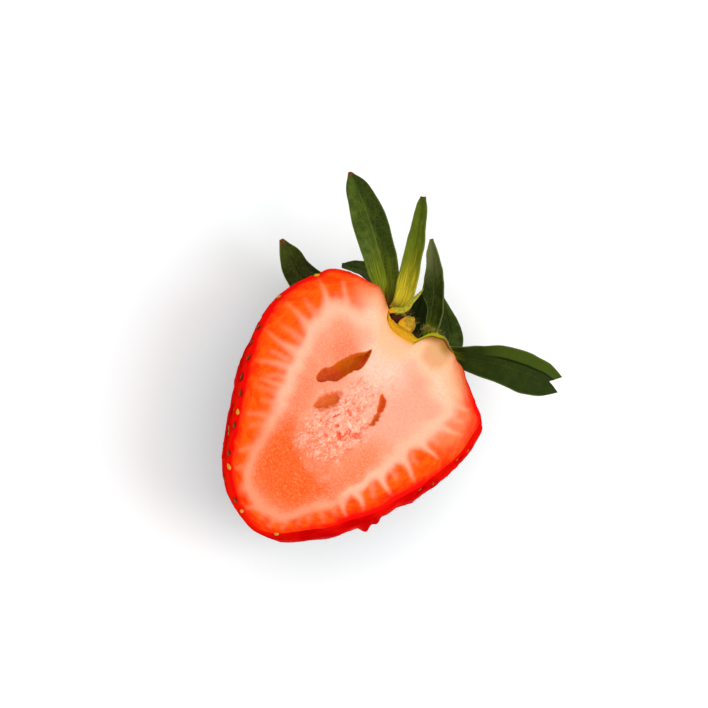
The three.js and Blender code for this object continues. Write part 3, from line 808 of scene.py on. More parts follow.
class Graph:
    """Adds nodes to one tree. Any input may be a value or the output of another node."""

    def __init__(self, tree):
        self.tree = tree

    def node(self, kind, inputs=(), **settings):
        made = self.tree.nodes.new("ShaderNode" + kind)
        for name, value in settings.items():
            setattr(made, name, value)
        for name, value in dict(inputs).items():
            self.feed(made.inputs[name], value)
        return made

    def feed(self, socket, value):
        if isinstance(value, bpy.types.NodeSocket):
            self.tree.links.new(value, socket)
        elif socket.type == "RGBA" and len(value) == 3:
            socket.default_value = (*value, 1)
        else:
            socket.default_value = value

    def here(self):
        """Object coordinates in millimetres."""
        place = self.node("TexCoord").outputs["Object"]
        return self.node("VectorMath", {0: place, "Scale": 1 / MM}, operation="SCALE").outputs[0]

    def axes(self, vector):
        return self.node("SeparateXYZ", {0: vector}).outputs

    def field(self, name):
        return self.node("Attribute", attribute_name=name).outputs["Fac"]

    def group(self, tree, **inputs):
        return self.node("Group", inputs, node_tree=tree).outputs

    def noise(self, vector, scale, detail=2.0, roughness=0.5, distortion=0.0):
        return self.node("TexNoise", {
            "Vector": vector, "Scale": scale, "Detail": detail, "Roughness": roughness,
            "Distortion": distortion,
        }).outputs["Fac"]

    def vectors(self, operation, *values):
        made = self.node("VectorMath", enumerate(values), operation=operation)
        return made.outputs["Value" if operation in ("DISTANCE", "LENGTH") else "Vector"]

    def maths(self, operation, *values):
        return self.node("Math", enumerate(values), operation=operation).outputs[0]

    def times(self, first, *others):
        for other in others:
            first = self.maths("MULTIPLY", first, other)
        return first

    def plus(self, first, *others):
        for other in others:
            first = self.maths("ADD", first, other)
        return first

    def swing(self, noise, width):
        """A noise's swing to both sides of its middle, scaled to a width."""
        return self.times(self.maths("SUBTRACT", noise, 0.5), width)

    def band(self, value, low, high, start=0.0, end=1.0):
        """start below low, end above high, and a smooth change between."""
        return self.node("MapRange", {
            "Value": value, "From Min": low, "From Max": high, "To Min": start, "To Max": end,
        }, interpolation_type="SMOOTHSTEP").outputs[0]

    def spot(self, vector, middle, near, far):
        """1 within near of a point, 0 past far."""
        return self.band(self.vectors("DISTANCE", vector, middle), near, far, 1.0, 0.0)

    def mix(self, factor, a, b, blend="MIX", label=""):
        made = self.node("Mix", data_type="RGBA", blend_type=blend, label=label)
        for index, value in ((0, factor), (6, a), (7, b)):
            self.feed(made.inputs[index], value)
        return made.outputs[2]

    def layered(self, base, *layers):
        """base with each layer over it in turn: what it shows, where, and its shade."""
        for shows, where, shade in layers:
            base = self.mix(where, base, shade, label=shows)
        return base

    def ramp(self, factor, stops):
        made = self.node("ValToRGB", {"Fac": factor})
        elements = made.color_ramp.elements
        while len(elements) < len(stops):
            elements.new(0.5)
        for element, (position, shade) in zip(elements, stops):
            element.position = position
            element.color = (*shade, 1)
        return made.outputs[0]


def new_material(name, **fixed):
    """A material with one Principled shader, and a Graph to build on."""
    material = bpy.data.materials.new(name)
    material.use_nodes = True
    shader = material.node_tree.nodes["Principled BSDF"]
    graph = Graph(material.node_tree)
    for socket, value in fixed.items():
        graph.feed(shader.inputs[socket.replace("_", " ")], value)
    return material, graph, shader


def bump(graph, shader, height, strength, distance):
    """Low relief: distance in millimetres."""
    made = graph.node("Bump", {"Height": height, "Strength": strength, "Distance": distance * MM})
    graph.feed(shader.inputs["Normal"], made.outputs[0])


def shared_group(name, build, takes, gives):
    """A node group that several materials use, built once: its inputs' defaults and outputs' names."""
    group = bpy.data.node_groups.get(name)
    if group:
        return group
    group = bpy.data.node_groups.new(name, "ShaderNodeTree")
    for socket, value in {**takes, "Place": None}.items():
        kind = "NodeSocketVector" if value is None else "NodeSocketFloat"
        made = group.interface.new_socket(socket, in_out="INPUT", socket_type=kind)
        if value is not None:
            made.default_value = value
    for socket in gives:
        group.interface.new_socket(socket, in_out="OUTPUT", socket_type="NodeSocketFloat")
    graph = Graph(group)
    entry, out = group.nodes.new("NodeGroupInput"), group.nodes.new("NodeGroupOutput")
    for socket, value in build(graph, entry.outputs).items():
        graph.feed(out.inputs[socket], value)
    return group


def moist_grain():
    """Cells and a film of juice: a fine mottle, a height and a roughness."""

    def build(g, entry):
        cells = g.noise(entry["Place"], 3.4, 3.0, 0.6)
        fine = g.noise(entry["Place"], 9.0, 2.0, 0.6)
        film = g.noise(entry["Place"], 0.55, 3.0, 0.55)
        return {
            "Mottle": g.maths("MULTIPLY_ADD", cells, 0.6, g.times(fine, 0.4)),
            "Height": g.plus(g.times(cells, 0.7), g.times(fine, 0.3)),
            "Film": g.band(film, 0.35, 0.7),
        }

    return shared_group("moist_grain", build, {}, ("Mottle", "Height", "Film"))


def leaf_veins():
    """A blade's midrib, side veins and the net between them, from its own lengths."""

    def build(g, entry):
        far, aside = entry["Along"], g.maths("ABSOLUTE", entry["Across"])
        rib = g.times(g.band(aside, 0.015, 0.075, 1.0, 0.0), g.band(far, 0.75, 1.0, 1.0, 0.25))
        swept = g.times(g.maths("POWER", aside, VEINS["bend"]), VEINS["sweep"])
        lane = g.maths("SUBTRACT", g.times(far, entry["Pairs"]), swept)
        lane = g.plus(lane, g.times(g.noise(entry["Place"], 0.35), 0.35))
        lane = g.maths("ABSOLUTE", g.maths("SUBTRACT", g.maths("FRACT", lane), 0.5))
        side = g.times(g.band(lane, 0.02, 0.1, 1.0, 0.0), g.band(aside, 0.05, 0.95, 1.0, 0.15))
        cells = g.node("TexVoronoi", {"Vector": entry["Place"], "Scale": 1.1}, feature="DISTANCE_TO_EDGE")
        net = g.band(cells.outputs["Distance"], 0.0, 0.13, 1.0, 0.0)
        height = g.plus(rib, g.times(side, 0.6), g.times(net, 0.25))
        return {"Rib": rib, "Side": side, "Net": net, "Height": height}

    takes = {"Along": 0.0, "Across": 0.0, "Pairs": float(VEINS["pairs"])}
    return shared_group("leaf_veins", build, takes, ("Rib", "Side", "Net", "Height"))


# ---- Materials ----------------------------------------------------------------------------------


def skin_material(skin):
    material, g, shader = new_material(
        "strawberry_skin", Subsurface_Weight=0.1, Subsurface_Radius=(1, 0.15, 0.1),
        Subsurface_Scale=0.001, Specular_IOR_Level=0.0, Coat_Roughness=0.12, Coat_IOR=1.4, IOR=1.38,
    )
    here = g.here()
    x, _, z = g.axes(here)
    grain = g.group(moist_grain(), Place=here)
    base = g.layered(
        skin.red,
        ("bright blotches", g.band(g.noise(here, 0.16, 3.0, 0.55), 0.38, 0.66), skin.bright),
        ("pits", g.times(g.field("pit"), 0.85), skin.dark),
        ("mottle", g.band(grain["Mottle"], 0.35, 0.75, 0.0, 0.25), skin.dark),
        # Painted light: the skin just under the cut is a lighter red, except on the right side.
        ("painted light under the cut", g.times(g.band(z, 21.8, 24.2), g.band(x, 12.0, 2.0, 0.0, 0.8)),
         linear(236, 24, 4)),
    )
    g.feed(shader.inputs["Base Color"], base)
    g.feed(shader.inputs["Roughness"], g.band(grain["Film"], 0.0, 1.0, 0.32, 0.2))
    wet = g.times(g.band(z, 22.0, 14.0), g.band(grain["Film"], 0.0, 1.0, 0.12, 0.4))
    g.feed(shader.inputs["Coat Weight"], wet)
    bump(g, shader, grain["Height"], 0.35, 0.05)
    return material


def on_cut(x, y):
    """A point on the cut face, in the measures that the materials read."""
    return x, y, CUT_HEIGHT


def cut_face_inputs(g):
    """The coordinates, fields and noises that the layers of the cut face share."""
    here = g.here()
    x, y, _ = g.axes(here)
    # Rays: noise that hardly changes along a line from the middle to the rim.
    from_heart = g.vectors("SUBTRACT", here, on_cut(0, HEART[1]))
    spread = g.node("CombineXYZ", {2: g.times(g.vectors("LENGTH", from_heart), 0.12)}).outputs[0]
    fan = g.vectors("ADD", g.vectors("NORMALIZE", from_heart), spread)
    cloud = g.noise(here, 0.3, 3.0, 0.55)
    wander = g.plus(y, g.swing(cloud, 12.0), g.times(x, 0.3))
    fields = ("past_ring", "glow", "bundle", "red", "to_rim", "hollow", "torn", "shred", "pale")
    return SimpleNamespace(
        here=here, y=y, cloud=cloud, wander=wander, tipward=g.band(wander, -6.5, -15.5),
        rays=g.noise(fan, 8.0, 2.0, 0.6), fibres=g.noise(fan, 34.0, 3.0, 0.65),
        speck=g.noise(here, 2.2, 3.0, 0.6),
        crumbs=g.noise(g.vectors("MULTIPLY", here, (1.5, 1.0, 1.0)), 1.5, 4.0, 0.65, 0.8),
        grain=g.group(moist_grain(), Place=here), **{name: g.field(name) for name in fields},
    )


def pith_layers(g, cut, at):
    """Inside the ring: salmon, orange towards the tip, nearly white below the stem."""
    blotches = [
        ("pale middle", (2.0, 0.0), 3.0, 9.5, 0.75, linear(252, 168, 142)),
        ("pale right", (8.0, 6.5), 2.5, 11.0, 0.85, linear(252, 168, 143)),
        ("white below the stem", (-1.0, 10.3), 1.5, 8.4, 0.85, cut.white),
        ("orange lower right", (10.8, -6.2), 2.5, 8.5, 0.6, linear(253, 120, 70)),
        ("rosy beside the big hollow", (-7.0, 7.3), 0.8, 4.4, 0.75, linear(250, 112, 72)),
    ]
    beside = g.times(g.band(at.past_ring, -6.5, -3.0), g.band(at.wander, 3.0, -6.0, 0.1, 0.5))
    stringy = g.times(g.band(at.fibres, 0.44, 0.66), g.band(at.tipward, 0.0, 1.0, 0.45, 0.6))
    calm = g.band(at.tipward, 0.2, 1.0, 1.0, 0.25)
    tops = g.times(at.torn, g.band(at.shred, 0.0, 0.9), 0.55)
    return g.layered(
        cut.pith,
        ("tip", at.tipward, cut.tip),
        ("along the ring", beside, cut.tip),
        *(
            (shows, g.times(g.spot(at.here, on_cut(*middle), full, fades), strength), shade)
            for shows, middle, full, fades, strength, shade in blotches
        ),
        ("fibres", stringy, g.mix(at.tipward, linear(254, 168, 138), linear(254, 140, 84))),
        ("pale specks", g.times(g.band(at.speck, 0.5, 0.66, 0.0, 0.15), calm), linear(253, 190, 168)),
        ("rosy specks", g.times(g.band(at.speck, 0.5, 0.36, 0.0, 0.15), calm), linear(250, 116, 76)),
        ("torn tops", tops, linear(254, 196, 176)),
        # Painted shade: the clefts of the torn pith, and its small pits, are a darker orange.
        ("painted shade in torn clefts", g.times(g.band(at.shred, -0.1, -1.0, 0.0, 0.85), at.torn), linear(244, 88, 42)),
        ("pale crumbs", g.times(g.band(at.crumbs, 0.52, 0.62, 0.0, 0.65), at.torn),
         linear(254, 212, 194)),
        ("rosy crumbs", g.times(g.band(at.crumbs, 0.47, 0.38, 0.0, 0.55), at.torn),
         linear(248, 124, 86)),
    )


def shoulder_layers(g, at):
    """The pale flesh past the ring at the upper right, browner towards the skin."""
    by_skin = g.ramp(g.times(at.to_rim, 0.2), [
        (0.0, linear(150, 80, 26)), (0.08, linear(192, 118, 62)), (0.3, linear(224, 154, 110)),
        (0.6, linear(247, 184, 146)), (1.0, linear(251, 200, 170)),
    ])
    by_dish = g.spot(at.here, on_cut(-2.7, 16.4), 2.5, 6.0)
    return g.layered(
        by_skin,
        ("fibres", g.band(at.fibres, 0.42, 0.7, 0.0, 0.4), linear(242, 160, 112)),
        ("by the dish", g.times(by_dish, 0.85), linear(248, 188, 148)),
    )


def flesh_layers(g, cut, at):
    """The pith, the ring, and orange flesh past it, redder in rays and towards the skin."""
    outer = g.layered(
        cut.middle,
        ("rays", g.band(at.rays, 0.36, 0.7, 0.0, 0.65), cut.outer),
        ("fibres", g.band(at.fibres, 0.48, 0.76, 0.0, 0.3), linear(255, 124, 34)),
    )
    ring = g.mix(g.times(at.tipward, 0.75), cut.ring, linear(254, 134, 94))
    washed = g.mix(g.band(at.past_ring, 0.5, 7.0), ring, linear(255, 128, 76))
    yellowed = g.times(g.spot(at.here, on_cut(-2.8, 18.0), 4.0, 5.6), g.band(at.to_rim, 1.5, 0.0))
    glassy = g.plus(g.vectors("DISTANCE", at.here, on_cut(5.0, 18.4)), g.swing(at.cloud, 1.6))
    murky = g.mix(g.band(at.y, 17.4, 20.0), linear(216, 156, 106), linear(206, 160, 102))
    # Darker olive-brown near the rim, by the dish.
    olive_brown_edge = g.times(g.spot(at.here, on_cut(3.6, 20.4), 1.8, 4.4), g.band(at.to_rim, 2.3, 0.5, 0.0, 0.85))
    uneven = g.plus(at.red, g.swing(at.rays, 0.5))
    return g.layered(
        pith_layers(g, cut, at),
        ("outer flesh", g.band(at.past_ring, -0.6, 0.8), outer),
        ("pale ring", g.times(at.glow, g.band(at.fibres, 0.3, 0.62, 0.78, 0.98)), ring),
        ("bundles", g.times(at.bundle, 0.95), washed),
        ("shoulder", g.times(at.pale, g.band(at.past_ring, -5.0, 0.5)), shoulder_layers(g, at)),
        ("yellow edge of the dish", g.times(yellowed, 0.8), linear(236, 168, 62)),
        ("glassy patch", g.band(glassy, 4.6, 2.8, 0.0, 0.6), linear(248, 188, 148)),
        ("murky middle of it", g.band(glassy, 3.3, 1.6, 0.0, 0.75), murky),
        ("olive-brown edge", olive_brown_edge, linear(146, 104, 26)),
        ("red towards the skin", g.band(uneven, 0.05, 0.85), cut.edge),
    )


def floor_layers(g, cut, at):
    """The orange floors of the hollows."""
    return g.layered(
        cut.hollow,
        ("reddish clouds", g.band(at.cloud, 0.42, 0.62), linear(222, 92, 34)),
        ("red lower down", g.band(at.y, 4.5, 1.5, 0.0, 0.65), linear(210, 94, 44)),
        ("pale crumbs", g.band(at.speck, 0.55, 0.72, 0.0, 0.35), linear(236, 150, 84)),
    )


def cut_material(cut):
    material, g, shader = new_material(
        "strawberry_cut_face", Subsurface_Weight=0.12, Subsurface_Radius=(1, 0.3, 0.1),
        Subsurface_Scale=0.0010, Specular_IOR_Level=0.05, Coat_Roughness=0.22, IOR=1.38,
    )
    at = cut_face_inputs(g)
    frayed = g.plus(at.hollow, g.times(g.swing(at.grain["Mottle"], 0.35), 0.6))
    flesh = g.mix(g.band(frayed, 0.1, -0.12), flesh_layers(g, cut, at), floor_layers(g, cut, at))
    darker = g.mix(1.0, flesh, (0.95, 0.7, 0.5), "MULTIPLY")
    flesh = g.mix(g.times(g.band(at.grain["Mottle"], 0.36, 0.66), 0.3), flesh, darker, label="mottle")
    g.feed(shader.inputs["Base Color"], flesh)
    g.feed(shader.inputs["Roughness"], g.band(at.grain["Film"], 0.0, 1.0, 0.55, 0.4))
    g.feed(shader.inputs["Coat Weight"], g.times(at.torn, 0.03))
    rough = g.times(g.plus(at.speck, at.crumbs), g.band(at.torn, 0.0, 1.0, 0.12, 0.9))
    bump(g, shader, g.plus(g.times(at.grain["Height"], 0.6), rough), 0.35, 0.09)
    return material


def seed_material(seeds):
    material, g, shader = new_material("strawberry_seed", Roughness=0.4, Specular_IOR_Level=0.06)
    by_tone = g.ramp(g.field("tone"), [
        (0.0, seeds.brown), (0.3, seeds.gold), (0.5, linear(212, 150, 40)), (0.7, seeds.gold),
        (1.0, seeds.green),
    ])
    ribs = g.noise(g.here(), 6.0, 3.0, 0.6)
    g.feed(shader.inputs["Base Color"], g.layered(
        by_tone,
        ("ribs", g.band(ribs, 0.45, 0.75, 0.0, 0.6), seeds.brown),
        # Painted shade: each seed's foot, down in its pit, is dark red.
        ("foot", g.band(g.field("foot"), 0.1, 0.75, 0.0, 0.9), linear(84, 14, 6)),
    ))
    bump(g, shader, ribs, 0.5, 0.05)
    return material


def calyx_material(calyx):
    material, g, shader = new_material(
        "calyx_flesh", Subsurface_Weight=0.1, Subsurface_Radius=(1, 0.8, 0.2), Subsurface_Scale=0.0008,
        IOR=1.4, Specular_IOR_Level=0.08,
    )
    here = g.here()
    x, y, z = g.axes(here)
    layers = g.noise(g.vectors("MULTIPLY", here, (0.9, 2.6, 1.0)), 1.6, 4.0, 0.6, 0.8)
    grained = g.band(layers, 0.4, 0.6)
    rightward = g.band(x, -0.4, 1.2)
    right = g.mix(g.band(x, 2.8, 4.6), calyx.lime, linear(122, 100, 34))
    left = g.mix(g.band(layers, 0.42, 0.64, 0.0, 0.8), calyx.gold, linear(224, 172, 40))
    below = g.mix(grained, calyx.olive, g.mix(rightward, linear(132, 98, 22), right))
    strap = g.mix(grained, linear(136, 134, 18), linear(174, 166, 52))
    stub = g.mix(g.band(layers, 0.4, 0.62), linear(146, 104, 16), calyx.olive)
    # The gaps beside and behind the stub are painted dark brown: partly the brown of the hollow there, partly
    # painted shade.
    beside = g.times(g.spot(here, (-4.5, 19.2, 23.3), 0.7, 1.7), g.band(z, 24.2, 23.8))
    behind = g.times(g.band(z, 23.6, 23.2), g.band(x, -3.4, -3.8), g.band(y, 20.6, 20.0))
    g.feed(shader.inputs["Base Color"], g.layered(
        left,
        ("right of the stub", rightward, right),
        ("below the cut", g.band(z, 24.2, 23.4), below),
        ("strap", g.times(g.band(x, -4.5, -4.9), g.band(y, 18.9, 19.8)), strap),
        ("stub", g.times(g.spot(here, (-2.6, 20.2, 24.2), 1.0, 1.9), 0.85), stub),
        ("gap beside the stub", beside, calyx.brown),
        ("gap behind it", behind, calyx.brown),
        # Painted shade: darker deep in the cup.
        ("painted shade deep in the cup", g.band(z, 22.6, 20.6, 0.0, 0.96), linear(34, 30, 10)),
    ))
    g.feed(shader.inputs["Roughness"], g.band(layers, 0.3, 0.7, 0.35, 0.55))
    bump(g, shader, layers, 0.7, 0.12)
    return material


def sepal_layers(g, sepals, row, at):
    """What lies over a blade's green, from the yellow base to the dry tip."""
    far, off, aside, rib = at.far, at.off, g.maths("ABSOLUTE", at.off), row["rib"]
    yellow = row["slot"] == "sepal_yellow_green"
    if yellow:
        yield "yellow fibres", g.band(at.fibres, 0.42, 0.68, 0.05, 0.5), sepals.lime
    reach = g.plus(far, g.swing(at.fibres, 0.5), g.times(aside, 0.12))
    ridged = g.mix(g.band(at.fibres, 0.42, 0.62), sepals.lime, linear(92, 98, 6))
    if yellow:
        straw = g.mix(g.band(at.fibres, 0.4, 0.6), linear(216, 186, 40), linear(158, 150, 24))
        ridged = g.mix(g.band(reach, 0.2, 0.62, 1.0, 0.0), ridged, straw)
    yield "base", g.band(reach, row["base"] * 0.25, row["base"] * 1.35 + 0.06, 1.0, 0.0), ridged
    rusty = g.times(g.band(far, 0.0, 0.16, 0.9, 0.0), g.band(at.cloud, 0.35, 0.6))
    yield "rusty root", rusty, linear(112, 72, 22)
    # Painted shade on one half of the blade, and patches of painted sheen on the other half.
    shaded = g.times(off, row.get("shaded", 0.0))
    yield "painted shade on one half", g.band(shaded, 0.0, 0.25, 0.0, 0.55), sepals.dark
    sheen = g.times(g.band(at.cloud, 0.4, 0.8), g.band(shaded, -0.1, -0.45), 0.3)
    yield "sheen on the other half", sheen, linear(104, 116, 60)
    # Painted sheen on the outer end of the blade.
    if "tip_sheen" in row:
        yield "painted sheen on the tip", g.band(far, 0.5, 0.9, 0.0, row["tip_sheen"]), linear(112, 116, 68)
    if "crease" in row:
        crease, grows = row["crease"], g.band(far, 0.25, 0.5)
        flap = g.times(g.band(off, crease, crease - 0.1), grows, 0.45)
        yield "turned margin", flap, linear(74, 92, 18)
        # A dark line along the fold: painted shade in the crease.
        apart = g.maths("ABSOLUTE", g.maths("SUBTRACT", off, crease))
        yield "crease", g.times(g.band(apart, 0.02, 0.09, 1.0, 0.0), grows, 0.85), linear(10, 18, 2)
    lines = g.times(at.veins["Rib"], rib)
    for vein, strength in (("Side", 0.4), ("Net", 0.3)):
        lines = g.maths("MAXIMUM", lines, g.times(at.veins[vein], rib * strength))
    yield "veins", lines, sepals.vein
    yield "margin", g.band(aside, 0.94, 1.0, 0.0, 0.35), sepals.vein
    if row["dusty"]:
        specks = g.noise(at.here, 4.5, 2.0, 0.7)
        yield "dust", g.band(specks, 0.62, 0.74, 0.0, row["dusty"] * 0.7), linear(176, 184, 160)
    if row["dry"]:
        yield "dry tip", g.band(g.plus(far, g.swing(at.cloud, 0.06)), 1.0 - row["dry"] * 1.6, 1.0), sepals.dry


def sepal_material(name, sepals, row):
    material, g, shader = new_material(
        name, Subsurface_Weight=0.06, Subsurface_Radius=(0.4, 1, 0.1), Subsurface_Scale=0.0005,
        Specular_IOR_Level=0.05, IOR=1.42,
    )
    here, far, off = g.here(), g.field("along"), g.field("across")
    cloud = g.noise(here, 0.5, 3.0, 0.6)
    stretched = g.node("CombineXYZ", {0: g.times(far, 3.0), 1: g.times(off, 9.0)}).outputs[0]
    at = SimpleNamespace(
        here=here, far=far, off=off, cloud=cloud, fibres=g.noise(stretched, 1.6, 4.0, 0.6),
        veins=g.group(leaf_veins(), Along=far, Across=off, Pairs=float(VEINS["pairs"]), Place=here),
    )
    blade = g.mix(g.band(cloud, 0.35, 0.68), sepals.dark, sepals.green)
    blade = g.mix(row["tone"], sepals.dark, g.mix(0.55, blade, sepals.green))
    g.feed(shader.inputs["Base Color"], g.layered(blade, *sepal_layers(g, sepals, row, at)))
    g.feed(shader.inputs["Roughness"], g.band(cloud, 0.3, 0.7, 0.42, 0.6))
    bump(g, shader, at.veins["Height"], 0.6, 0.12)
    return material


def thread_material(name, shade, other):
    """For hairs and threads: two shades in patches."""
    material, g, shader = new_material(name, Roughness=0.6, Specular_IOR_Level=0.1)
    g.feed(shader.inputs["Base Color"], g.mix(g.band(g.noise(g.here(), 1.1), 0.4, 0.6), shade, other))
    return material


def floor_material(stage):
    material, g, shader = new_material("plain_floor", Roughness=0.75)
    here = g.here()
    g.feed(shader.inputs["Base Color"], g.layered(
        stage.floor,
        ("faint clouds", g.band(g.noise(here, 0.02, 2.0), 0.3, 0.7, 0.0, 0.3), linear(249, 252, 252)),
        # Painted tint: the floor under the fruit is cooler, to cancel the red light that the fruit throws on
        # it.
        ("painted tint against the fruit's red bounce", g.spot(here, (0.0, 0.0, 0.0), 20.0, 38.0), linear(233, 253, 254)),
    ))
    return material


# ---- Operators ----------------------------------------------------------------------------------

RINGS, CUT_RINGS = 196, 92  # the fruit's mesh: steps from pole to pole, and those on the cut
BLADE_GRID, CUP_GRID, STRAP_GRID = (20, 56), (120, 30), (14, 60)


class STRAWBERRY_OT_flesh(bpy.types.Operator):
    """The halved fruit: a cut face with its hollows, and the skin with a pit for every seed"""

    bl_idname = "strawberry.flesh"
    bl_label = "Flesh"

    def execute(self, context):
        skin, cut = context.scene.strawberry_skin, context.scene.strawberry_cut
        bm = bmesh.new()
        bmesh.ops.create_uvsphere(bm, u_segments=RIM_STEPS, v_segments=RINGS, radius=1)
        mesh = mesh_from(bm, "fruit_half")
        ball = read_values(mesh.vertices, "co", len(mesh.vertices) * 3, np.float64).reshape(-1, 3)
        ring = np.rint(np.arccos(np.clip(ball[:, 2], -1, 1)) / np.pi * RINGS).astype(int)
        step = np.rint(np.arctan2(ball[:, 1], ball[:, 0]) / (2 * np.pi) * RIM_STEPS).astype(int)
        rim = smooth_line(RIM, RIM_STEPS, closed=True)[0][step % RIM_STEPS]

        on_cut = ring <= CUT_RINGS
        place = np.zeros_like(ball)
        place[on_cut], fields = self.cut_points(rim[on_cut], ring[on_cut] / CUT_RINGS, cut)
        below = (ring[~on_cut] - CUT_RINGS) / (RINGS - CUT_RINGS)
        place[~on_cut], fields["pit"] = self.skin_points(rim[~on_cut], below, skin)
        place[:, 2] = np.maximum(place[:, 2], -HEART[2])  # the flat spot that the fruit rests on
        move_vertices(mesh, to_frame(place))
        for name, values in fields.items():
            everywhere = np.zeros(len(ball))
            everywhere[~on_cut if name == "pit" else on_cut] = values
            write_field(mesh, name, everywhere)

        corners = read_values(mesh.loops, "vertex_index", len(mesh.loops), np.int32)
        starts = read_values(mesh.polygons, "loop_start", len(mesh.polygons), np.int32)
        lowest = np.maximum.reduceat(ring[corners], starts)
        mesh.polygons.foreach_set("material_index", (lowest <= CUT_RINGS).astype(np.int32))
        outward(mesh)
        add_piece("fruit_half", mesh, [skin_material(skin), cut_material(cut)], "fruit_flesh", "flesh_half")
        return {"FINISHED"}

    @staticmethod
    def cut_points(rim, part, cut):
        """Points of the cut face at a share of the way from HEART to the rim, and their fields."""
        part = 0.72 * part + 0.28 * part ** 3  # the rings crowd towards the rim
        flat = rim * part[:, None]
        height, fields = cut_face_fields(flat[:, 0], flat[:, 1], cut.relief / MM)
        return np.column_stack([flat, CUT_ABOVE_HEART + height]), fields

    @staticmethod
    def skin_points(rim, part, skin):
        """Points of the skin at a share of the way from the rim to the underside, and their pits."""
        edge = unit(np.column_stack([rim, np.full(len(rim), CUT_ABOVE_HEART)]))
        down = np.array([0, 0, -1.0])
        whole = np.arccos(np.clip(edge @ down, -1, 1))
        turned = part * whole
        d = unit(edge * np.sin(whole - turned)[:, None] + down * np.sin(turned)[:, None])
        lift, pit = skin_relief(d, skin)
        # The knife's edge is smooth, and a hair's breadth inside the skin.
        relieved = smoothstep(turned * MEAN_RADIUS, 0, 0.7)
        radius = skin_radius(d) + lift * relieved - 0.06 * (1 - relieved)
        return d * radius[:, None], pit * relieved


class STRAWBERRY_OT_seeds(bpy.types.Operator):
    """The seeds, each a ribbed teardrop lying in its pit"""

    bl_idname = "strawberry.seeds"
    bl_label = "Seeds"

    def execute(self, context):
        seeds, skin = context.scene.strawberry_seeds, context.scene.strawberry_skin
        directions = seed_directions()
        to_stem, sideways = seed_axes(directions)
        base = skin_radius(directions) - skin.pit / MM * SEED_SEAT
        base[: len(EDGE_SEEDS)] += EDGE_SEED_LIFT
        long, wide, stands = seeds.long / MM, seeds.wide / MM, seeds.stands / MM
        bm = bmesh.new()
        tone, foot = bm.verts.layers.float.new("tone"), bm.verts.layers.float.new("foot")
        for k, d in enumerate(directions):
            made = bmesh.ops.create_uvsphere(bm, u_segments=8, v_segments=6, radius=1)["verts"]
            size = 1 + 0.12 * draw(k + 0.7)
            turn = 0.35 * draw(k + 0.2)
            ahead = to_stem[k] * math.cos(turn) + sideways[k] * math.sin(turn)
            aside = sideways[k] * math.cos(turn) - to_stem[k] * math.sin(turn)
            shade, bare = 0.5 + 0.5 * draw(k + 0.9), 0  # laid bare and golden, or dark in its pit
            if k < len(EDGE_SEEDS):
                bare = EDGE_SEEDS[k][2]
                shade = 0.5 if bare else 0.08
            for v in made:
                z, x, y = v.co
                taper = 1 - 0.35 * z - 0.12 * z * z  # narrower towards the stem
                local = (
                    ahead * (z * long / 2 * size) + aside * (x * taper * wide / 2 * size)
                    + d * (y * taper * stands * 0.8)
                )
                v.co = to_frame(d * base[k] + local)
                v[tone] = shade
                # The foot, down in the pit, takes painted shade; seeds laid bare by the knife take less.
                v[foot] = max(0.0, min(1.0, 0.75 - 1.1 * y)) * (1 - 0.8 * bare)
        mesh = mesh_from(bm, "seeds")
        outward(mesh)
        add_piece("seeds", mesh, [seed_material(seeds)], "seed_gold")
        return {"FINISHED"}


def blade(bm, row):
    """Adds one blade to a bmesh as a single sheet, with its own lengths along and across."""
    far_layer, off_layer = (bm.verts.layers.float.new(name) for name in ("along", "across"))
    verts, off, far = add_grid(bm, *BLADE_GRID)
    far = (far + 1) / 2
    middle, forward = line_at(row["spine"], far)
    sideways = unit(np.cross(forward, unit(np.array(row["faces"], float))))
    normal = unit(np.cross(sideways, forward))
    wide = np.maximum(evenly(row["half"], far), 0.12)
    wide = wide * (1 + 0.04 * lumps(np.stack([far * 9, np.sign(off) * 3 + 0 * far], -1)))
    curl = np.radians(row["curl"][0] + (row["curl"][1] - row["curl"][0]) * far)
    bend = curl * off
    roundness = wide / curl
    pull = row.get("notch", 0) * smoothstep(far, 0.75, 1) * (1 - np.abs(off))
    # The midrib and side veins are grooves in the upper side, and the margins wave.
    rib = np.exp(-((off / 0.09) ** 2)) * smoothstep(far, 1.0, 0.8)
    lane = far * VEINS["pairs"] - VEINS["sweep"] * np.abs(off) ** VEINS["bend"]
    lane = np.abs(lane - np.floor(lane) - 0.5)
    side = np.exp(-((lane / 0.12) ** 2)) * smoothstep(np.abs(off), 0.05, 0.2) * (1 - np.abs(off))
    p3 = np.stack([far * 7, off * 1.6, np.full(len(far), len(row["half"]) * 1.7)], -1)
    wave = 0.3 * lumps(p3) * np.abs(off) ** 1.5 * smoothstep(far, 0.05, 0.3)
    lift = -0.2 * rib - 0.09 * side + wave + 0.1 * lumps(p3 * 2.3)
    inward = -np.sin(bend)[:, None] * sideways + np.cos(bend)[:, None] * normal
    p = (
        middle + sideways * (np.sin(bend) * roundness)[:, None]
        + normal * (roundness - np.cos(bend) * roundness)[:, None]
        - forward * pull[:, None] + inward * lift[:, None]
    )
    p = p + [0, 0, CUT_ABOVE_HEART]
    for v, co, a, b in zip(verts, to_frame(p), far, off):
        v.co = co
        v[far_layer], v[off_layer] = a, b


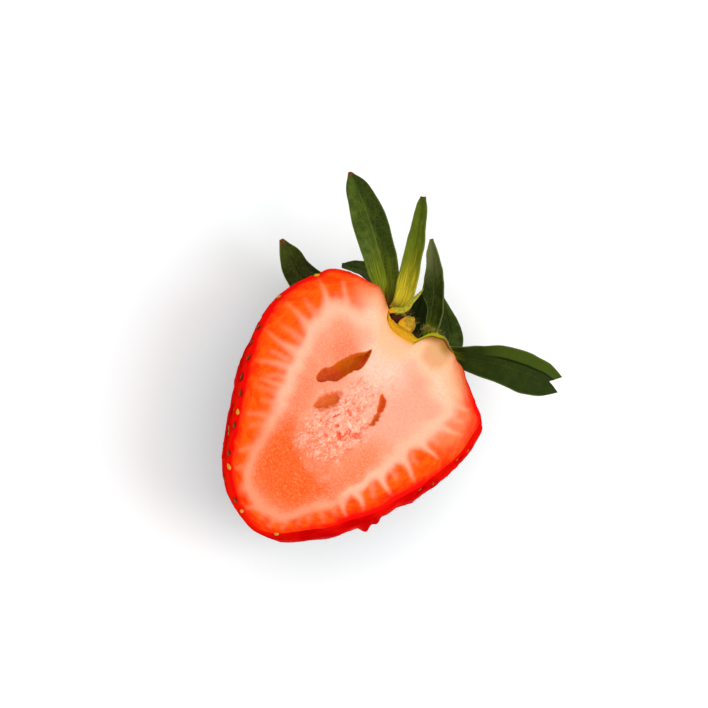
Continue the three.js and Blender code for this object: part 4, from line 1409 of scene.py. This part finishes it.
class STRAWBERRY_OT_sepals(bpy.types.Operator):
    """The seven sepals: curled blades with a midrib, side veins and thin wavy margins"""

    bl_idname = "strawberry.sepals"
    bl_label = "Sepals"

    def execute(self, context):
        sepals = context.scene.strawberry_sepals
        # Besides the sepals, a dark sheet behind the stub: painted shadow in the gap between them.
        for name, row in (*SEPALS.items(), ("bract", SHADOW_SHEET)):
            bm = bmesh.new()
            blade(bm, row)
            mesh = mesh_from(bm, name + "_blade")
            nodes = [name] if name in SEPALS else []
            piece = add_piece(name + "_blade", mesh, [sepal_material(name, sepals, row)], row["slot"], *nodes)
            off, far = (
                read_values(mesh.attributes[name].data, "value", len(mesh.vertices), np.float32)
                for name in ("across", "along")
            )
            full = piece.vertex_groups.new(name="full")
            for i, weight in enumerate(1 - 0.6 * np.abs(off) ** 2 - 0.2 * far):
                full.add([i], float(weight), "REPLACE")
            wall = piece.modifiers.new("thickness", "SOLIDIFY")
            wall.thickness = sepals.thick
            wall.offset = 0
            wall.vertex_group = "full"
            wall.thickness_vertex_group = 0.25
            wall.use_quality_normals = True
        return {"FINISHED"}


class STRAWBERRY_OT_calyx(bpy.types.Operator):
    """The calyx cup that lines the dish, its collar, the stub of the stem and its hairs"""

    bl_idname = "strawberry.calyx"
    bl_label = "Calyx"

    def execute(self, context):
        calyx = context.scene.strawberry_calyx
        bm = bmesh.new()
        self.cup(bm, calyx.wall / MM)
        self.stub(bm)
        self.strap(bm)
        mesh = mesh_from(bm, "calyx")
        add_piece("calyx", mesh, [calyx_material(calyx)], "calyx_green_yellow", "calyx_cup")
        self.hairs(calyx)
        return {"FINISHED"}

    @staticmethod
    def skin_under(x, z):
        """The skin's distance towards the stem under each point across the fruit."""
        y = np.full(len(x), 21.0)
        for _ in range(30):
            d = unit(np.stack([x, y, z], -1))
            r = skin_radius(d)
            y = 0.5 * y + 0.5 * np.sqrt(np.maximum(r * r - x * x - z * z, 1))
        return y

    def cup(self, bm, wall):
        """A lining over the dish and its shoulder, thickest under the stub."""
        verts, turn, part = add_grid(bm, *CUP_GRID)
        turn, part = (turn + 1) * np.pi, (part + 1) / 2
        scallop = CUP["radius"] + sum(high * np.sin(n * turn + phase) for high, n, phase in CUP["waves"])
        edge = [CUP["x"] + scallop * np.cos(turn), -CUT_ABOVE_HEART + scallop * np.sin(turn)]
        edge = np.stack(edge, -1)
        centre = np.array([DISH["x"], DISH["z"]])
        flat = centre + (edge - centre) * part[:, None]
        x, z = flat[:, 0], flat[:, 1] + CUT_ABOVE_HEART
        inner = self.skin_under(x, z) + CUP["over_skin"]
        under_stub = np.exp(-(((flat - CUP["thick_at"]) / CUP["thick_radii"]) ** 2).sum(1))
        thick = wall + CUP["thicker"] * under_stub
        thick = thick * (1 - 0.7 * smoothstep(part, 0.75, 1)) + 0.08 * lumps(flat * 2)
        for layer, y in ((0, inner), (1, inner + np.maximum(thick, CUP["thinnest"]))):
            if layer:
                copied = bmesh.ops.duplicate(bm, geom=bm.verts[:] + bm.edges[:] + bm.faces[:])
                verts = [g for g in copied["geom"] if isinstance(g, bmesh.types.BMVert)]
            put_verts(verts, np.column_stack([x, y, z]))
        bmesh.ops.remove_doubles(bm, verts=bm.verts, dist=1e-6)
        bmesh.ops.bridge_loops(bm, edges=[e for e in bm.edges if e.is_boundary])
        bmesh.ops.recalc_face_normals(bm, faces=bm.faces)
        made = bmesh.ops.bisect_plane(
            bm, geom=bm.verts[:] + bm.edges[:] + bm.faces[:],
            plane_co=(0, 0, (CUT_HEIGHT - 0.02) * MM), plane_no=(0, 0, 1), clear_outer=True,
        )
        cut_edges = [g for g in made["geom_cut"] if isinstance(g, bmesh.types.BMEdge)]
        bmesh.ops.holes_fill(bm, edges=cut_edges, sides=0)
        bmesh.ops.triangulate(bm, faces=[f for f in bm.faces if len(f.verts) > 4])

    @staticmethod
    def stub(bm):
        """The stub of the stem: a lumpy knob on the cup's floor, shaved by the knife."""
        for middle, radii in STUB:
            made = bmesh.ops.create_uvsphere(bm, u_segments=40, v_segments=24, radius=1)["verts"]
            ball = np.array([v.co for v in made])
            p = ball * radii * (1 + 0.16 * lumps(ball * 2.6))[:, None] + middle
            p[:, 2] = np.minimum(p[:, 2], -0.08 - 0.1 * np.hypot(p[:, 0] + 2.7, p[:, 1] - 18.6))
            p[:, 2] += CUT_ABOVE_HEART + 0.12 * lumps(p * 2.2)
            put_verts(made, p)

    @staticmethod
    def strap(bm):
        """A flattened strand, closed at both ends, along the line of STRAP."""
        verts, turn, far = add_grid(bm, *STRAP_GRID)
        turn, far = (turn + 1) * np.pi, (far + 1) / 2
        middle, forward = line_at(STRAP["line"], far)
        half = evenly(STRAP["half"], far)
        half = half * np.sqrt(np.clip(np.minimum(far, 1 - far) * 30, 0.002, 1))
        sideways = unit(np.cross(forward, [0, 0, 1.0]))
        upward = np.cross(sideways, forward)
        p = middle + sideways * (half * np.cos(turn))[:, None] + upward * (0.7 * half * np.sin(turn))[:, None]
        put_verts(verts, p + [0, 0, CUT_ABOVE_HEART])
        bmesh.ops.remove_doubles(bm, verts=verts, dist=1e-6)
        bmesh.ops.holes_fill(bm, edges=[e for e in bm.edges if e.is_boundary], sides=0)

    @staticmethod
    def hairs(calyx):
        """Fine pale hairs along the collar and on the stub."""
        longest, lines = calyx.hair / MM, []
        for k in range(HAIRS["number"]):
            a, b, c, e = (float(draw(k * 7.13 + s)) for s in (0.1, 0.3, 0.5, 0.8))
            patch = COLLAR_PATCH if k % 6 else STUB_PATCH
            foot = patch["middle"] + np.array(patch["half_size"]) * [a, b, abs(c)]
            foot[1] += patch["arch"] * (1 - a * a)
            way = unit(np.array([0.6 * b - 0.15, 1.0 + 0.3 * c, 0.3 + 0.4 * e]))
            side = unit(np.cross(way, [0.3, 0.1, 1.0]))
            reach = longest * (0.4 + 0.6 * abs(e))
            t = np.linspace(0, 1, 5)[:, None]
            lines.append(foot + way * t * reach + side * (0.35 * a * t * t) + [0, 0, CUT_ABOVE_HEART])
        mesh = strands("calyx_hairs", lines, [HAIRS["radius"]] * len(lines))
        material = thread_material("calyx_hair", linear(176, 154, 62), linear(108, 92, 26))
        add_piece("calyx_hairs", mesh, [material], "calyx_green_yellow")


class STRAWBERRY_OT_threads(bpy.types.Operator):
    """The torn threads of the pith, curled over the cut face beside its hollows"""

    bl_idname = "strawberry.threads"
    bl_label = "Pith threads"

    def execute(self, context):
        cut = context.scene.strawberry_cut
        patch, n = THREADS, np.arange(THREADS["thrown"])
        a, b, c, e = (draw(n * 3.71 + shift) for shift in (0.15, 0.35, 0.55, 0.85))
        kept = np.hypot(a, b) < 1
        a, b, c, e = a[kept], b[kept], c[kept], e[kept]
        t = np.linspace(0, 1, patch["points"])
        bend = np.pi * c[:, None] + 1.3 * e[:, None] * t
        step = (0.6 + 0.8 * np.abs(e) ** 2)[:, None] / patch["points"]
        x = (patch["x"] + patch["half_wide"] * a)[:, None] + np.cumsum(np.cos(bend) * step, 1)
        y = (patch["y"] + patch["half_long"] * b)[:, None] + np.cumsum(np.sin(bend) * step, 1)
        height, fields = cut_face_fields(x.ravel(), y.ravel(), cut.relief / MM)
        height, hollow = height.reshape(x.shape), fields["hollow"].reshape(x.shape)
        whole = hollow.mean(1) > patch["clear"]
        x, y, height, c = x[whole], y[whole], height[whole], c[whole]
        chord = height[:, :1] + (height[:, -1:] - height[:, :1]) * t
        z = np.maximum(height, chord) + 0.08 * np.sin(np.pi * t) * np.abs(c)[:, None]
        lines = list(np.stack([x, y, z + CUT_ABOVE_HEART], -1))
        radii = 0.08 + 0.08 * np.abs(c)
        mesh = strands("pith_threads", lines, radii)
        material = thread_material("pith_thread", linear(254, 196, 168), linear(254, 160, 122))
        add_piece("pith_threads", mesh, [material], "fruit_flesh")
        return {"FINISHED"}


class STRAWBERRY_OT_stage(bpy.types.Operator):
    """A plain pale floor, soft light from one side and the camera"""

    bl_idname = "strawberry.stage"
    bl_label = "Floor, light and camera"

    def execute(self, context):
        stage = context.scene.strawberry_stage
        bm = bmesh.new()
        bmesh.ops.create_grid(bm, x_segments=1, y_segments=1, size=0.6)
        mesh = mesh_from(bm, "floor")
        mesh.materials.append(floor_material(stage))
        floor = bpy.data.objects.new("floor", mesh)
        context.scene.collection.objects.link(floor)
        floor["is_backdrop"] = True

        lean, turn = stage.lean, stage.turn
        back = Vector((math.sin(lean) * math.sin(turn), -math.sin(lean) * math.cos(turn), math.cos(lean)))
        stem_way = Vector((0, 1, 0)) - back * back.y
        stem_way.normalize()
        across = stem_way.cross(back)
        right = (stem_way + across).normalized()
        up = (stem_way - across).normalized()

        self.camera(context, stage, back, right, up)
        world = bpy.data.worlds.new("soft_room")
        world.use_nodes = True
        background = world.node_tree.nodes["Background"].inputs
        background["Color"].default_value = (1, 1, 1, 1)
        background["Strength"].default_value = ROOM_LIGHT
        context.scene.world = world
        middle = Vector(to_frame([0, 0, 0]))
        for name, ((x, y, z), away, size) in LAMPS.items():
            way = right * x + up * y + back * z
            self.lamp(context, name, middle, way, away, size, getattr(stage, name))
        context.scene.view_settings.view_transform = "Standard"
        return {"FINISHED"}

    @staticmethod
    def camera(context, stage, back, right, up):
        """Frames the fruit for a square picture of 708 pixels a side, at 5.5 to a millimetre of the cut face;
        the picture's size is not set here.
        """
        frame_side, per_millimetre = 708, 5.5
        heart_at = (345, 408)  # where HEART's place on the cut face shows
        shift = right * (frame_side / 2 - heart_at[0]) - up * (frame_side / 2 - heart_at[1])
        heart = Vector(to_frame([0, 0, CUT_ABOVE_HEART]))
        target = heart + shift * (MM / per_millimetre)
        data = bpy.data.cameras.new("camera")
        data.sensor_width = 36
        data.lens = data.sensor_width * stage.distance / (frame_side / per_millimetre * MM)
        data.clip_start, data.clip_end = 0.01, 5
        camera = bpy.data.objects.new("camera", data)
        turned = Matrix((right, up, back)).transposed().to_4x4()
        camera.matrix_world = Matrix.Translation(target + back * stage.distance) @ turned
        context.scene.collection.objects.link(camera)
        context.scene.camera = camera

    @staticmethod
    def lamp(context, name, middle, way, away, size, power):
        data = bpy.data.lights.new(name, "AREA")
        data.shape = "DISK"
        data.size = size
        data.energy = power
        lamp = bpy.data.objects.new(name, data)
        way = way.normalized()
        lamp.location = middle + way * away
        lamp.rotation_mode = "QUATERNION"
        lamp.rotation_quaternion = way.to_track_quat("Z", "Y")
        context.scene.collection.objects.link(lamp)


class STRAWBERRY_PT_panel(bpy.types.Panel):
    bl_label = "Halved strawberry"
    bl_idname = "STRAWBERRY_PT_panel"
    bl_space_type = "VIEW_3D"
    bl_region_type = "UI"
    bl_category = "Strawberry"

    def draw(self, context):
        for operator, settings in STEPS:
            box = self.layout.box()
            box.operator(operator.bl_idname)
            for name in SETTINGS[settings].__annotations__ if settings else ():
                box.prop(getattr(context.scene, settings), name)


SETTINGS = {
    "strawberry_skin": SkinSettings,
    "strawberry_cut": CutSettings,
    "strawberry_seeds": SeedSettings,
    "strawberry_calyx": CalyxSettings,
    "strawberry_sepals": SepalSettings,
    "strawberry_stage": StageSettings,
}
STEPS = [
    (STRAWBERRY_OT_stage, "strawberry_stage"),
    (STRAWBERRY_OT_flesh, "strawberry_skin"),
    (STRAWBERRY_OT_threads, "strawberry_cut"),
    (STRAWBERRY_OT_seeds, "strawberry_seeds"),
    (STRAWBERRY_OT_calyx, "strawberry_calyx"),
    (STRAWBERRY_OT_sepals, "strawberry_sepals"),
]
CLASSES = [*SETTINGS.values(), *(operator for operator, _ in STEPS), STRAWBERRY_PT_panel]


def register():
    for made in CLASSES:
        bpy.utils.register_class(made)
    for name, group in SETTINGS.items():
        setattr(bpy.types.Scene, name, PointerProperty(type=group))


def unregister():
    for name in SETTINGS:
        delattr(bpy.types.Scene, name)
    for made in reversed(CLASSES):
        bpy.utils.unregister_class(made)


def main():
    register()
    for operator, _ in STEPS:
        name = operator.bl_idname.split(".")[1]
        getattr(bpy.ops.strawberry, name)()
    boxes = {"cad": CAD_BOX, "visual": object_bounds()}
    {name: [list(corner) for corner in box] for name, box in boxes.items()}


if __name__ == "__main__":
    main()
